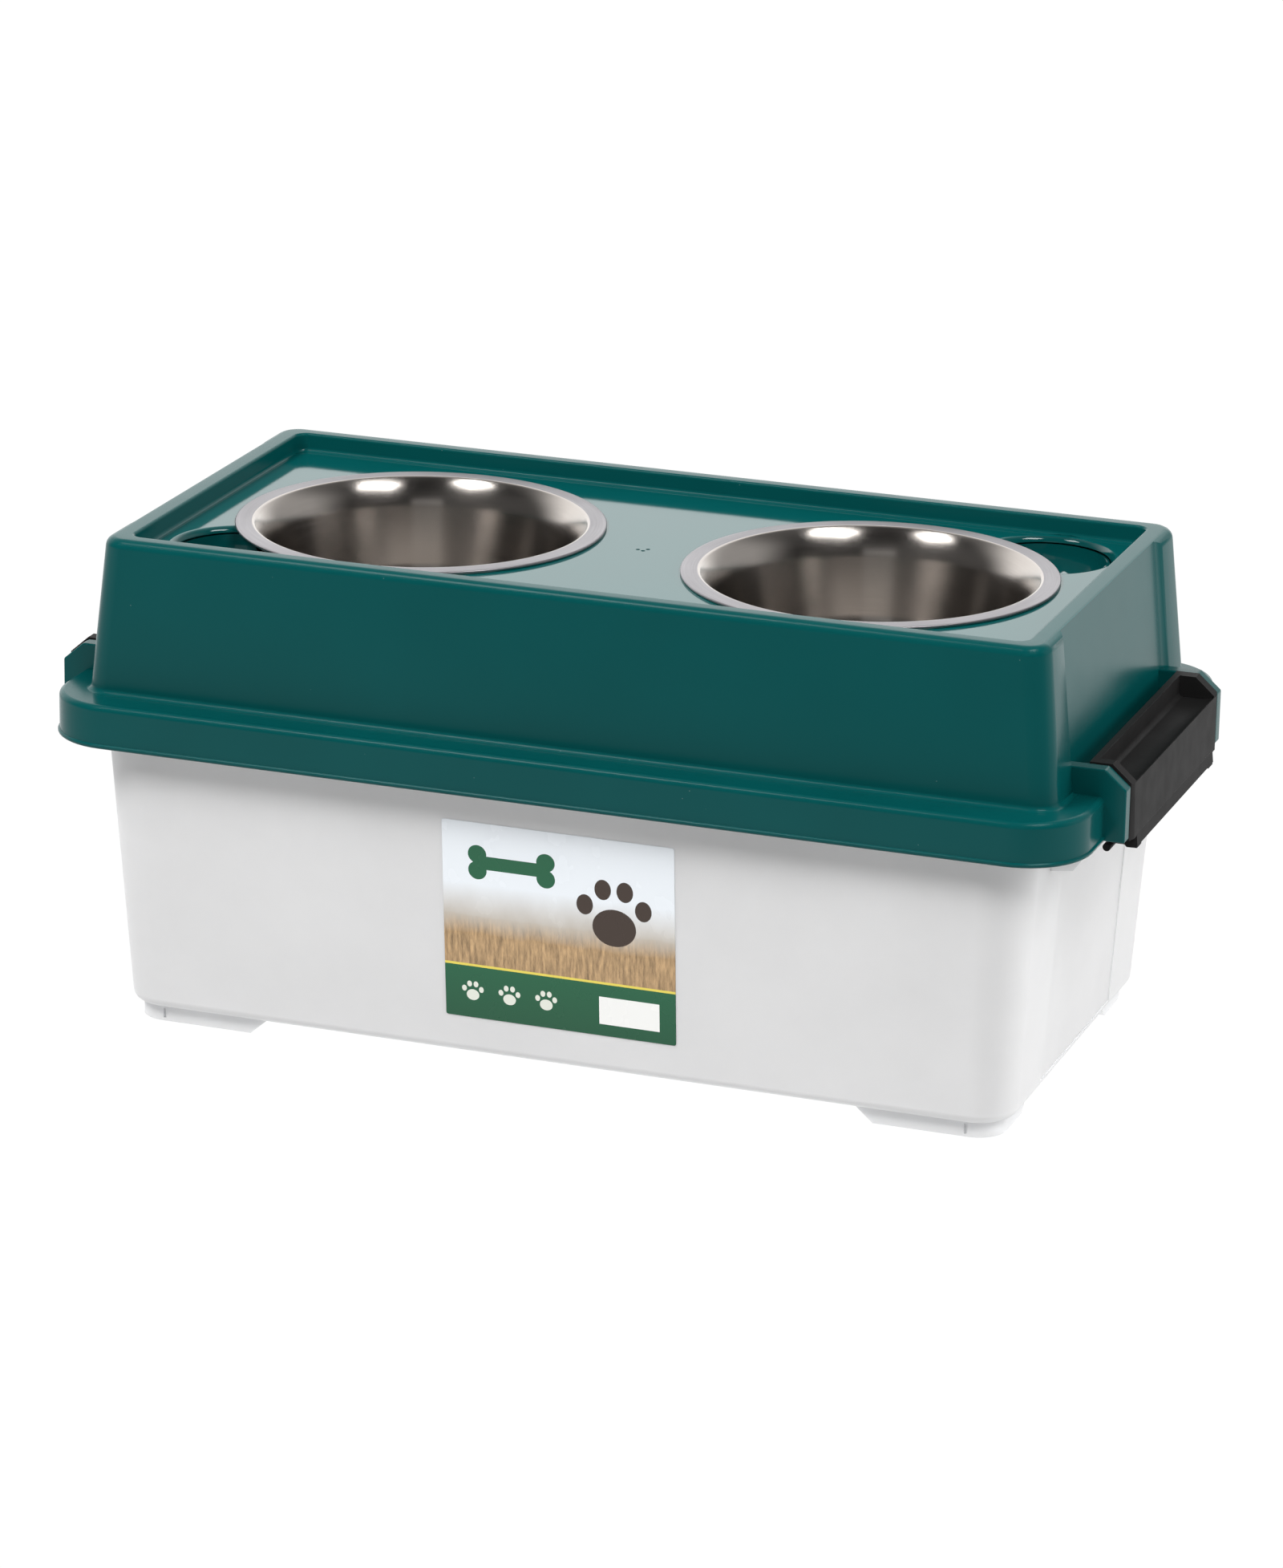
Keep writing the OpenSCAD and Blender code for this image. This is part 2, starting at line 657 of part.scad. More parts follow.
// The latch at +X: a grip over the shelf, a front wall, and a bead that snaps under the keeper
module latch() {
    y1 = latch_l / 2;
    grip_under = latch_top - grip_depth - latch_wall / 2;
    inner = latch_x - latch_wall;
    knee_x = latch_x - ear_chamfer_x + 0.2;
    difference() {
        along_y(-y1, y1, [[latch_in_x, grip_under], [latch_in_x, latch_top], [knee_x, latch_top],
            [latch_x, latch_top - ear_chamfer_z], [latch_x + latch_lean, latch_z + 1],
            [inner, latch_z + 1], [inner, grip_under]]);
        along_y(-grip_l / 2, grip_l / 2, grip_outline());
        front_and_back() end_slant();
    }
    latch_lower(inner);
    for (y = [-1, -0.5, 0, 0.5, 1] * (latch_low_l - latch_wall) / 2)
        latch_rib(y, inner, grip_under);
    translate([bead_x, -y1 + latch_bead_gap, bead_z]) rotate([-90, 0, 0])
        cylinder(r = latch_bead_r, h = latch_l - 2 * latch_bead_gap);
    front_and_back() translate([pin_x, y1 - 1, pin_z]) rotate([-90, 0, 0])
        cylinder(r = pin_r, h = pin_l + 1);
}

// The finger grip: a steep inner side and a floor that sweeps up to the front edge
function grip_outline() = let (x0 = latch_in_x + latch_strip, floor_z = latch_top - grip_depth, r = latch_wall)
    concat([[x0, latch_top + 1]], arc([x0 + r, floor_z + r], r, 180, 270, edge_steps),
        [[latch_x - 8, floor_z], [latch_x - 4.5, floor_z + 0.3], [latch_x - 1.8, floor_z + 1],
         [latch_x + 1, floor_z + 2.4], [latch_x + 1, latch_top + 1]]);

// The shallow slant at the +Y end of the front
module end_slant() {
    y1 = latch_l / 2;
    translate([0, 0, latch_z]) linear_extrude(latch_top - latch_z)
        polygon([[latch_x + latch_lean, y1 - latch_slant_l],
            [latch_x + 1, y1 - latch_slant_l], [latch_x + 1, y1 + 1], [latch_x - latch_slant_t, y1 + 1],
            [latch_x - latch_slant_t, y1]]);
}

// The shorter part below the ears' ends, its web back to the bead, and a lug at each end
module latch_lower(inner) {
    y = latch_low_l / 2;
    low = bead_z - 0.2;
    along_y(-y, y, [[inner, latch_z + 2], [latch_x + latch_lean, latch_z + 2], [latch_x + latch_toe, low],
        [inner, low]]);
    along_y(-y, y, [[bead_x, bead_z], [bead_x, low + latch_bead_r], [latch_x, low + latch_bead_r],
        [latch_x, low], [bead_x + latch_bead_r, low]]);
    front_and_back() along_y(y - latch_lug_l, y, [[inner - 4, bead_z + sink],
        [latch_x + latch_toe / 2, bead_z + sink], [latch_x + latch_toe, low - 1.2], [inner - 2, low - 1.4]]);
}

// A rib behind the front wall, from the grip down to the web
module latch_rib(y, inner, top) {
    depth = 2 * latch_wall;
    along_y(y - latch_wall / 2, y + latch_wall / 2, [[inner + sink, top + sink], [inner - depth, top + sink],
        [inner - depth, latch_z + 1.5], [bead_x + sink, bead_z + 1.8], [inner + sink, bead_z + 1]]);
}

container();
front_label();
lid();
gasket();
bowl(-bowl_pitch / 2);  // left_bowl
bowl(bowl_pitch / 2);  // right_bowl
color([0.12, 0.12, 0.12]) rotate([0, 0, 180]) latch();  // left_latch
color([0.12, 0.12, 0.12]) latch();  // right_latch
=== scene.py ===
"""An elevated dog feeder: a frosted food container, a green lid with two steel bowls, and a black latch at each end.

The file is laid out as an add-on: sizes and colours are properties, each group of pieces has an operator, and a
panel in the 3D view's sidebar lists them. Lengths are metres, +Z is up, and the label side looks along -Y.
"""

from math import asin, atan, atan2, cos, degrees, hypot, pi, radians, sin

import bmesh
import bpy
from bpy.props import FloatProperty, FloatVectorProperty, IntProperty, PointerProperty
from mathutils import Matrix, Vector


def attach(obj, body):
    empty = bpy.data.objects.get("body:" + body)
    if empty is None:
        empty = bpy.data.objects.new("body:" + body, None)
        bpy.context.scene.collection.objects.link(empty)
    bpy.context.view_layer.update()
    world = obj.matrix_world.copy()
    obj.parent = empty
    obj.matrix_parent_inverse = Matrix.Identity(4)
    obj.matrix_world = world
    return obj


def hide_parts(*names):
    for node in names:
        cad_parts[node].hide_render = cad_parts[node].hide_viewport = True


bl_info = {
    "name": "Elevated dog feeder",
    "version": (1, 0, 0),
    "blender": (4, 5, 0),
    "location": "3D View > Sidebar > Feeder",
    "description": "Builds an elevated dog feeder with a storage container, two bowls and two latches",
    "category": "Add Mesh",
}

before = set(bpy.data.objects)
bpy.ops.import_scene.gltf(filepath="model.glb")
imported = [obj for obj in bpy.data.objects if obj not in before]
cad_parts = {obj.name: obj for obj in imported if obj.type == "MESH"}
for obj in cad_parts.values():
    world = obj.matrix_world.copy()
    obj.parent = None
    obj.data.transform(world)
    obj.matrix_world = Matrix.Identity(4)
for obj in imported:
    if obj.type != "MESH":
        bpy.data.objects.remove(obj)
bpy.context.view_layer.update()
MM = 0.001
CORNER_STEPS = 12             # straight pieces in an upright corner
EDGE_STEPS = 5                # straight pieces in a rounded edge
TURNED_STEPS = 128            # sides of a turned form
BOWL_STEPS = 160              # sides of a bowl
SMALL_STEPS = 48              # sides of a pin, a socket or a bead
SMOOTH_ANGLE = radians(32)    # sharper edges stay sharp
GASKET_HALF = 2.5 * MM        # half the gasket's width
GROOVE_HALF = 2.7 * MM        # half the distance between the ribs that hold it
FLOOR_HALF = 12               # half the floor's side, in metres
TOWARDS_CAMERA = (0.372, -0.928, 0)
SHADE_START, SHADE_END = 0.675, 0.76    # distances from the feeder at which the floor passes into shade
FLOOR_BRIGHT, FLOOR_SHADE = 1.02, 0.35  # the floor's light before and beyond them


# ---- Sizes and colours that a user may change ----

def size(name, description, millimetres):
    """A length property whose default is given in millimetres."""
    return FloatProperty(name=name, description=description, default=millimetres * MM, min=0, unit="LENGTH")


def tint(name, description, red, green, blue):
    """A colour property, linear red, green and blue."""
    return FloatVectorProperty(name=name, description=description, default=(red, green, blue), size=3,
                               min=0, max=1, subtype="COLOR")


def share(name, description, value):
    """A plain number between 0 and 1."""
    return FloatProperty(name=name, description=description, default=value, min=0, max=1, subtype="FACTOR")


class ContainerSettings(bpy.types.PropertyGroup):
    """Sizes of the food container."""
    bottom_length: size("Bottom length", "Length of the walls at the bottom", 461)
    bottom_width: size("Bottom width", "Width of the walls at the bottom", 237.4)
    top_length: size("Top length", "Length of the walls under the rim", 480)
    top_width: size("Top width", "Width of the walls under the rim", 263)
    height: size("Height", "Height of the sealing face above the ground", 163.2)
    corner_radius: size("Corner radius", "Upright corners at the bottom", 20)
    top_corner_radius: size("Top corner radius", "Upright corners under the rim", 25)
    wall: size("Wall", "Thickness of the walls", 2.2)
    floor: size("Floor", "Thickness of the floor", 2.6)
    edge_radius: size("Edge radius", "Rounding between the walls and the floor", 5)
    foot_height: size("Foot height", "Height of the moulded feet", 7.9)
    foot_length: size("Foot length", "Length of a foot along the container", 63)
    foot_width: size("Foot width", "Length of a foot across the container", 40)
    foot_leg: size("Foot leg", "Thickness of a foot's two legs", 11)
    foot_inset: size("Foot inset", "Set-back of the feet from the walls", 5)
    foot_slope: size("Foot slope", "Run of the slope at a foot's ends", 9)
    foot_slot: size("Foot slot", "Width of the slot in a foot", 1.4)
    foot_slot_set: size("Foot slot set-back", "Distance of the slot from the end of the container's bottom", 22)
    panel_width: size("Panel width", "Width of the shallow panel in an end wall", 122)
    panel_depth: size("Panel depth", "Depth of the shallow panel in an end wall", 0.7)
    rim_length: size("Rim length", "Length over the rim", 522.2)
    rim_width: size("Rim width", "Width over the rim", 276.4)
    rim_radius: size("Rim radius", "Corner radius of the rim", 30.1)
    rim_thickness: size("Rim thickness", "Thickness of the rim and its lip", 2.4)
    lip_height: size("Lip height", "Height of the rim's turned-down lip", 11)
    keeper_height: size("Keeper height", "Depth of the keeper below the sealing face", 17)
    keeper_length: size("Keeper length", "Length of the keeper along an end", 159)
    bracket_drop: size("Bracket drop", "Drop of the keeper's brackets below the sealing face", 35)
    bracket_thickness: size("Bracket thickness", "Thickness of the keeper's brackets", 2.5)
    plastic: tint("Plastic", "Frosted plastic", 0.76, 0.765, 0.775)


class LidSettings(bpy.types.PropertyGroup):
    """Sizes of the green lid."""
    flange_length: size("Flange length", "Length over the flange's bead", 530)
    flange_width: size("Flange width", "Width over the flange's bead", 284.2)
    flange_radius: size("Flange radius", "Corners of the flange", 34)
    shelf_top: size("Shelf height", "Height of the shelf's top above the ground", 170)
    shelf: size("Shelf", "Thickness of the shelf", 2.4)
    skirt_height: size("Skirt height", "Height of the skirt, bead to shelf", 21.8)
    skirt: size("Skirt", "Thickness of the skirt", 2.2)
    shelf_edge: size("Shelf edge", "Rounding between the shelf and the skirt", 3)
    bead_out: size("Bead", "How far the bead stands out from the skirt", 0.9)
    bead_height: size("Bead height", "Height of the bead", 2.4)
    foot_length: size("Body foot length", "Length of the raised body at the shelf", 497.2)
    foot_width: size("Body foot width", "Width of the raised body at the shelf", 241.2)
    top_length: size("Body top length", "Length of the raised body at the top", 481.6)
    top_width: size("Body top width", "Width of the raised body at the top", 234.6)
    body_height: size("Body height", "Height of the raised body above the shelf", 78)
    body_radius: size("Body radius", "Upright corners of the raised body", 12)
    wall: size("Wall", "Thickness of the walls", 2.2)
    rim_outer: size("Rim outer rounding", "Rounding of the rim's outer edge", 4.5)
    rim_inner: size("Rim inner rounding", "Rounding of the rim's inner edge", 1.5)
    body_fillet: size("Body fillet", "Fillet between the raised body and the shelf", 2.5)
    recess_depth: size("Recess depth", "Depth of the recess in an end wall", 3)
    recess_width: size("Recess width", "Width of the recess in an end wall", 164)
    recess_slant: size("Recess slant", "Run of the recess's slanted sides", 6)
    tray_length: size("Tray length", "Length of the tray", 457)
    tray_width: size("Tray width", "Width of the tray", 212.8)
    tray_depth: size("Tray depth", "Depth of the tray below the rim", 9.4)
    tray_radius: size("Tray radius", "Corners of the tray", 6)
    tray_fillet: size("Tray fillet", "Fillet between the tray's floor and walls", 2)
    tray_floor: size("Tray floor", "Thickness of the tray's floor", 2.4)
    gate_radius: size("Gate radius", "Radius of the gate mark in the tray", 2.5)
    well_radius: size("Well radius", "Radius of a bowl's well at the tray", 85.9)
    well_base_radius: size("Well base radius", "Radius of a bowl's well at its base", 72.9)
    well_height: size("Well floor height", "Height of a well's floor above the ground", 181.4)
    well_fillet: size("Well fillet", "Fillet at the base of a well", 20)
    well_edge: size("Well edge", "Rounding of the edge of a well", 1.5)
    well_wall: size("Well wall", "Thickness of the wells' walls", 2)
    scoop_radius: size("Scoop radius", "Radius of a finger scoop", 32)
    scoop_reach: size("Scoop reach", "Distance from a bowl's middle to its scoop's", 98.3)
    scoop_angle: FloatProperty(name="Scoop angle", description="Direction of the scoops", default=radians(45.8),
                               subtype="ANGLE")
    scoop_depth: size("Scoop depth", "Depth of a finger scoop", 24)
    scoop_fillet: size("Scoop fillet", "Rounding at the bottom of a scoop", 21)
    scoop_edge: size("Scoop edge", "Rounding of the edge of a scoop", 3.6)
    scoop_draft: size("Scoop draft", "Narrowing of a scoop towards its bottom", 2)
    ear_gap_half: size("Ear position", "Distance of an ear's inner face from the middle", 79.5)
    ear: size("Ear", "Thickness of an ear", 8)
    ear_top: size("Ear top", "Height of the ears above the ground", 183.5)
    ear_reach: size("Ear reach", "Distance of an ear's outer face from the middle", 274.6)
    ear_chamfer_run: size("Ear chamfer run", "Run of an ear's slanted corner", 10.6)
    ear_chamfer_drop: size("Ear chamfer drop", "Drop of an ear's slanted corner", 9.2)
    rib: size("Gasket rib", "Thickness of the ribs that hold the gasket", 1.2)
    rib_height: size("Gasket rib height", "Height of the ribs that hold the gasket", 2.6)
    plastic: tint("Plastic", "Green plastic", 0.001, 0.0625, 0.063)


class BowlSettings(bpy.types.PropertyGroup):
    """Sizes of the steel bowls."""
    rim_diameter: size("Rim diameter", "Diameter over the rim", 186)
    mouth_diameter: size("Mouth diameter", "Diameter inside the flat rim", 169)
    base_diameter: size("Base diameter", "Diameter where the wall turns into the base", 142)
    height: size("Height", "Height of a bowl", 58)
    base_radius: size("Base radius", "Rounding between wall and base", 20)
    roll_height: size("Roll", "Height of the rolled edge", 1.8)
    edge_radius: size("Edge radius", "Rounding of the rim's inner edge", 1.3)
    edge_fall: FloatProperty(name="Edge fall", description="Slope of the shoulder under the rim's inner edge",
                             default=radians(42), subtype="ANGLE")
    shoulder: size("Shoulder", "Radius of the curved shoulder under the rim", 24)
    steel_thickness: size("Steel", "Thickness of the steel", 0.9)
    seat: size("Seat height", "Height of the tray that the rims stand on", 238.6)
    pitch: size("Pitch", "Distance between the bowls' middles", 236)
    steel: tint("Steel", "Polished steel inside a bowl", 0.48, 0.444, 0.412)
    rim_steel: tint("Rim steel", "Satin steel of the flat rim", 0.365, 0.352, 0.368)


class LatchSettings(bpy.types.PropertyGroup):
    """Sizes of the latches."""
    length: size("Length", "Length between the ears", 157.8)
    wall: size("Wall", "Thickness of the walls", 2.4)
    outer: size("Outer face", "Distance of the outer face from the middle", 275.5)
    depth: size("Depth", "Depth from the outer to the inner face", 21.7)
    top: size("Top", "Height of the top above the ground", 184)
    bottom: size("Bottom", "Height of the full-length front's lower edge", 146)
    bead_reach: size("Bead reach", "Distance of the bead from the middle", 263.5)
    bead_height: size("Bead height", "Height of the bead above the ground", 142.2)
    bead_radius: size("Bead radius", "Radius of the bead", 2)
    chamfer_run: size("Chamfer run", "Run of the slanted corner", 10.4)
    chamfer_drop: size("Chamfer drop", "Drop of the slanted corner", 9.2)
    strip: size("Strip", "Width of the strip along the grip's inner side", 3.2)
    grip_depth: size("Grip depth", "Depth of the finger grip", 10.8)
    grip_length: size("Grip length", "Length of the finger grip", 144)
    low_length: size("Low length", "Length of the part below the ears", 140)
    lug_length: size("Lug length", "Length of the lugs at the lower corners", 8)
    slant_length: size("End slant length", "Length of the shallow slant at the ends of the front", 4.5)
    slant_depth: size("End slant depth", "Depth of the shallow slant at the ends of the front", 1)
    pin_radius: size("Pin radius", "Radius of the hinge pins", 2.5)
    pin_length: size("Pin length", "Length of the hinge pins", 4.6)
    pin_reach: size("Pin reach", "Distance of the hinge line from the middle", 258.2)
    pin_height: size("Pin height", "Height of the hinge line above the ground", 179.5)
    ribs: IntProperty(name="Ribs", description="Ribs behind the front wall", default=5, min=2)
    plastic: tint("Plastic", "Black plastic", 0.017, 0.0166, 0.0166)


class LabelSettings(bpy.types.PropertyGroup):
    """Size and colours of the printed label."""
    width: size("Width", "Width of the label", 119.5)
    height: size("Height", "Height of the label", 104)
    thickness: size("Thickness", "Thickness of the film", 0.25)
    up: size("Up", "Distance from the container's bottom up to the label", 20)
    along: size("Along", "Offset of the label from the middle", 4.5)
    band: share("Band", "Share of the height under the yellow line", 0.27)
    green: tint("Green", "Lower band", 0.008, 0.105, 0.045)
    sky: tint("Sky", "Upper field", 0.80, 0.84, 0.88)
    field: tint("Field", "Dry grass", 0.36, 0.235, 0.12)
    line: tint("Line", "Thin line over the band", 0.75, 0.62, 0.10)


class StageSettings(bpy.types.PropertyGroup):
    """The camera and the light."""
    camera_place: FloatVectorProperty(name="Camera", description="Place of the camera", size=3,
                                      default=(0.9805, -2.7600, 1.0786), subtype="TRANSLATION", unit="LENGTH")
    camera_aim: FloatVectorProperty(name="Aim", description="Direction in which the camera looks", size=3,
                                    default=(-0.31765, 0.89540, -0.31203), subtype="DIRECTION")
    camera_roll: FloatProperty(name="Roll", description="Turn of the camera about its aim",
                               default=radians(1.0), subtype="ANGLE")
    lens: FloatProperty(name="Lens", description="Focal length in millimetres", default=141.5, min=1)
    surround: FloatProperty(name="Surround", description="Strength of the white surroundings", default=1.0, min=0)
    softbox: FloatProperty(name="Softboxes", description="Strength of all the soft lights", default=1.0, min=0)


# ---- Outlines and solids ----

def arc(centre, radius, start, end, steps=EDGE_STEPS):
    """Points along an arc, angles in degrees."""
    angles = [radians(start + (end - start) * i / steps) for i in range(steps + 1)]
    return [(centre[0] + radius * cos(a), centre[1] + radius * sin(a)) for a in angles]


def quarter(steps=EDGE_STEPS):
    """The angles of a quarter turn, in radians."""
    return [radians(90 * i / steps) for i in range(steps + 1)]


def rounded(length, width, radius):
    """A rounded rectangle's outline, anticlockwise."""
    radius = max(radius, 0.3 * MM)
    x, y = length / 2 - radius, width / 2 - radius
    return (arc((x, y), radius, 0, 90, CORNER_STEPS) + arc((-x, y), radius, 90, 180, CORNER_STEPS)
            + arc((-x, -y), radius, 180, 270, CORNER_STEPS) + arc((x, -y), radius, 270, 360, CORNER_STEPS))


def mesh_piece(name, points, faces):
    """An object at the origin, with its place in its mesh."""
    mesh = bpy.data.meshes.new(name)
    mesh.from_pydata(points, [], faces)
    piece = bpy.data.objects.new(name, mesh)
    bpy.context.scene.collection.objects.link(piece)
    return piece


def loft(name, rings):
    """A closed solid through rings of (height, outline); the first and the last ring are closed by a face."""
    count = len(rings[0][1])
    points = [(x, y, z) for z, outline in rings for x, y in outline]
    faces = [tuple(reversed(range(count))), tuple(range((len(rings) - 1) * count, len(rings) * count))]
    for k in range(len(rings) - 1):
        for i in range(count):
            j = (i + 1) % count
            faces.append((k * count + i, k * count + j, (k + 1) * count + j, (k + 1) * count + i))
    return mesh_piece(name, points, faces)


def prism(name, outline, low, high):
    """An outline in X and Y, drawn out along Z."""
    return loft(name, [(low, outline), (high, outline)])


def along_y(name, outline, near, far):
    """An outline in X and Z, anticlockwise seen from -Y, drawn out along Y."""
    piece = prism(name, outline, -far, -near)
    piece.data.transform(Matrix.Rotation(pi / 2, 4, "X"))
    return piece


class Nodes:
    """Short ways to place nodes in a tree."""

    def __init__(self, tree):
        self.nodes, self.links = tree.nodes, tree.links

    def add(self, kind, inputs=None, **settings):
        """A new node with its settings and inputs."""
        node = self.nodes.new(kind)
        for key, value in settings.items():
            setattr(node, key, value)
        for key, value in (inputs or {}).items():
            self.put(node.inputs[key], value)
        return node

    def put(self, socket, value):
        """Links another socket into an input, or sets its value."""
        if isinstance(value, bpy.types.NodeSocket):
            self.links.new(value, socket)
        else:
            socket.default_value = value

    def math(self, operation, *values):
        """The result of a math node."""
        node = self.add("ShaderNodeMath", operation=operation)
        for socket, value in zip(node.inputs, values):
            self.put(socket, value)
        return node.outputs[0]

    def spread(self, value, low, high, to_low, to_high, kind="LINEAR"):
        """A value on a line between two levels, which it doesn't leave."""
        inputs = {"Value": value, "From Min": low, "From Max": high, "To Min": to_low, "To Max": to_high}
        return self.add("ShaderNodeMapRange", inputs, interpolation_type=kind).outputs[0]

    def smooth_step(self, value, low, high, to_low, to_high):
        """A value that passes softly from one level to another."""
        return self.spread(value, low, high, to_low, to_high, "SMOOTHSTEP")


class Shaping(Nodes):
    """A geometry nodes tree with named inputs, that ends in real faces of one material."""

    def __init__(self, name, inputs):
        self.tree = bpy.data.node_groups.new(name, "GeometryNodeTree")
        super().__init__(self.tree)
        for label, kind in (*inputs, ("Material", "Material")):
            self.tree.interface.new_socket(label, in_out="INPUT", socket_type=f"NodeSocket{kind}")
        self.tree.interface.new_socket("Mesh", in_out="OUTPUT", socket_type="NodeSocketGeometry")
        self.given = self.nodes.new("NodeGroupInput").outputs

    def end(self, geometry):
        """The finished tree: real faces, their material, and the result."""
        real = self.add("GeometryNodeRealizeInstances", {"Geometry": geometry})
        paint = self.add("GeometryNodeSetMaterial",
                         {"Geometry": real.outputs["Geometry"], "Material": self.given["Material"]})
        self.add("NodeGroupOutput", {"Mesh": paint.outputs["Geometry"]})
        return self.tree


def turned_tree():
    """Geometry nodes that turn a profile (radius, -height) about the Z axis of its centre."""
    shaping = Shaping("Turned form", (("Profile", "Geometry"), ("Steps", "Int"), ("Centre", "Vector")))
    given = shaping.given
    profile = shaping.add("GeometryNodeMeshToCurve", {"Mesh": given["Profile"]})
    circle = shaping.add("GeometryNodeCurvePrimitiveCircle", {"Radius": 0.001 * MM, "Resolution": given["Steps"]})
    sweep = shaping.add("GeometryNodeCurveToMesh",
                        {"Curve": circle.outputs["Curve"], "Profile Curve": profile.outputs["Curve"]})
    merge = shaping.add("GeometryNodeMergeByDistance", {"Geometry": sweep.outputs["Mesh"], "Distance": 0.01 * MM})
    move = shaping.add("GeometryNodeTransform",
                       {"Geometry": merge.outputs["Geometry"], "Translation": given["Centre"]})
    return shaping.end(move.outputs["Geometry"])


def set_inputs(modifier, values):
    """Sets a geometry nodes modifier's inputs, found by name, through their identifiers."""
    for item in modifier.node_group.interface.items_tree:
        if item.item_type == "SOCKET" and item.in_out == "INPUT" and item.name in values:
            modifier[item.identifier] = values[item.name]


def turned(name, profile, centre=(0, 0, 0), material=None, steps=TURNED_STEPS):
    """A turned form from a profile of (radius, height) points that starts and ends on the axis."""
    piece = mesh_piece(name, [(r, -z, 0) for r, z in profile], [])
    piece.data.edges.add(len(profile) - 1)
    for i, edge in enumerate(piece.data.edges):
        edge.vertices = (i, i + 1)
    modifier = piece.modifiers.new("turned", "NODES")
    modifier.node_group = bpy.data.node_groups.get("Turned form") or turned_tree()
    set_inputs(modifier, {"Steps": steps, "Centre": centre, "Material": material})
    bake(piece)
    point_outwards(piece)
    return piece


def point_outwards(piece):
    """Recalculates the normals of a closed form."""
    shape = bmesh.new()
    shape.from_mesh(piece.data)
    bmesh.ops.recalc_face_normals(shape, faces=shape.faces)
    shape.to_mesh(piece.data)
    shape.free()


def bake(piece):
    """Applies the modifiers to the mesh."""
    bpy.context.view_layer.update()
    graph = bpy.context.evaluated_depsgraph_get()
    mesh = bpy.data.meshes.new_from_object(piece.evaluated_get(graph))
    old = piece.data
    piece.modifiers.clear()
    piece.data = mesh
    bpy.data.meshes.remove(old)
    return piece


def boolean(piece, operation, tools):
    """Joins the tools to the piece, or cuts them out of it, and removes them."""
    for tool in tools:
        modifier = piece.modifiers.new(operation, "BOOLEAN")
        modifier.operation = operation
        modifier.solver = "EXACT"
        modifier.object = tool
        bake(piece)
        bpy.data.objects.remove(tool)
    return piece


def bevel(piece, width, segments=2, angle=radians(30), material=-1):
    """Rounds the sharp edges of a piece, and may give the roundings a material of their own."""
    modifier = piece.modifiers.new("bevel", "BEVEL")
    modifier.width = width
    modifier.segments = segments
    modifier.limit_method = "ANGLE"
    modifier.angle_limit = angle
    modifier.miter_outer = "MITER_ARC"
    modifier.use_clamp_overlap = True
    modifier.material = material
    return bake(piece)


def tidy(piece, merge=0.01 * MM, flat=radians(0.5)):
    """Merges doubled points and joins flat neighbours."""
    shape = bmesh.new()
    shape.from_mesh(piece.data)
    bmesh.ops.remove_doubles(shape, verts=shape.verts, dist=merge)
    bmesh.ops.dissolve_limit(shape, angle_limit=flat, verts=shape.verts, edges=shape.edges)
    shape.to_mesh(piece.data)
    shape.free()
    return piece


def smooth(piece, angle=SMOOTH_ANGLE):
    """Shades a piece smooth, keeps its sharp edges, and lets large faces lead the normals."""
    piece.data.shade_smooth()
    piece.data.set_sharp_from_angle(angle=angle)
    modifier = piece.modifiers.new("normals", "WEIGHTED_NORMAL")
    modifier.keep_sharp = True
    modifier.weight = 60
    return bake(piece)


def copied(piece, matrix):
    """A copy moved by a matrix, turned right side out if the matrix mirrors it."""
    copy = bpy.data.objects.new(piece.name, piece.data.copy())
    bpy.context.scene.collection.objects.link(copy)
    copy.data.transform(matrix)
    if matrix.determinant() < 0:
        copy.data.flip_normals()
    return copy


FRONT_TO_BACK = Matrix.Scale(-1, 4, Vector((0, 1, 0)))
END_TO_END = Matrix.Rotation(pi, 4, "Z")


def both_ends(piece):
    """The piece at +X, and its copy at the other end."""
    return [piece, copied(piece, END_TO_END)]


def four_corners(piece):
    """The piece at +X +Y, and its copies at the other three corners."""
    return both_ends(piece) + both_ends(copied(piece, FRONT_TO_BACK))


def between(value, low, high, at_low, at_high):
    """A value on a straight line."""
    return at_low + (at_high - at_low) * (value - low) / (high - low)


def dress(piece, material, body, nodes):
    """Gives a finished piece its material and its body, and hides the nodes that it stands for."""
    if not piece.data.materials:
        piece.data.materials.append(material)
    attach(piece, body)
    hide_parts(*nodes)


# ---- Finishes ----

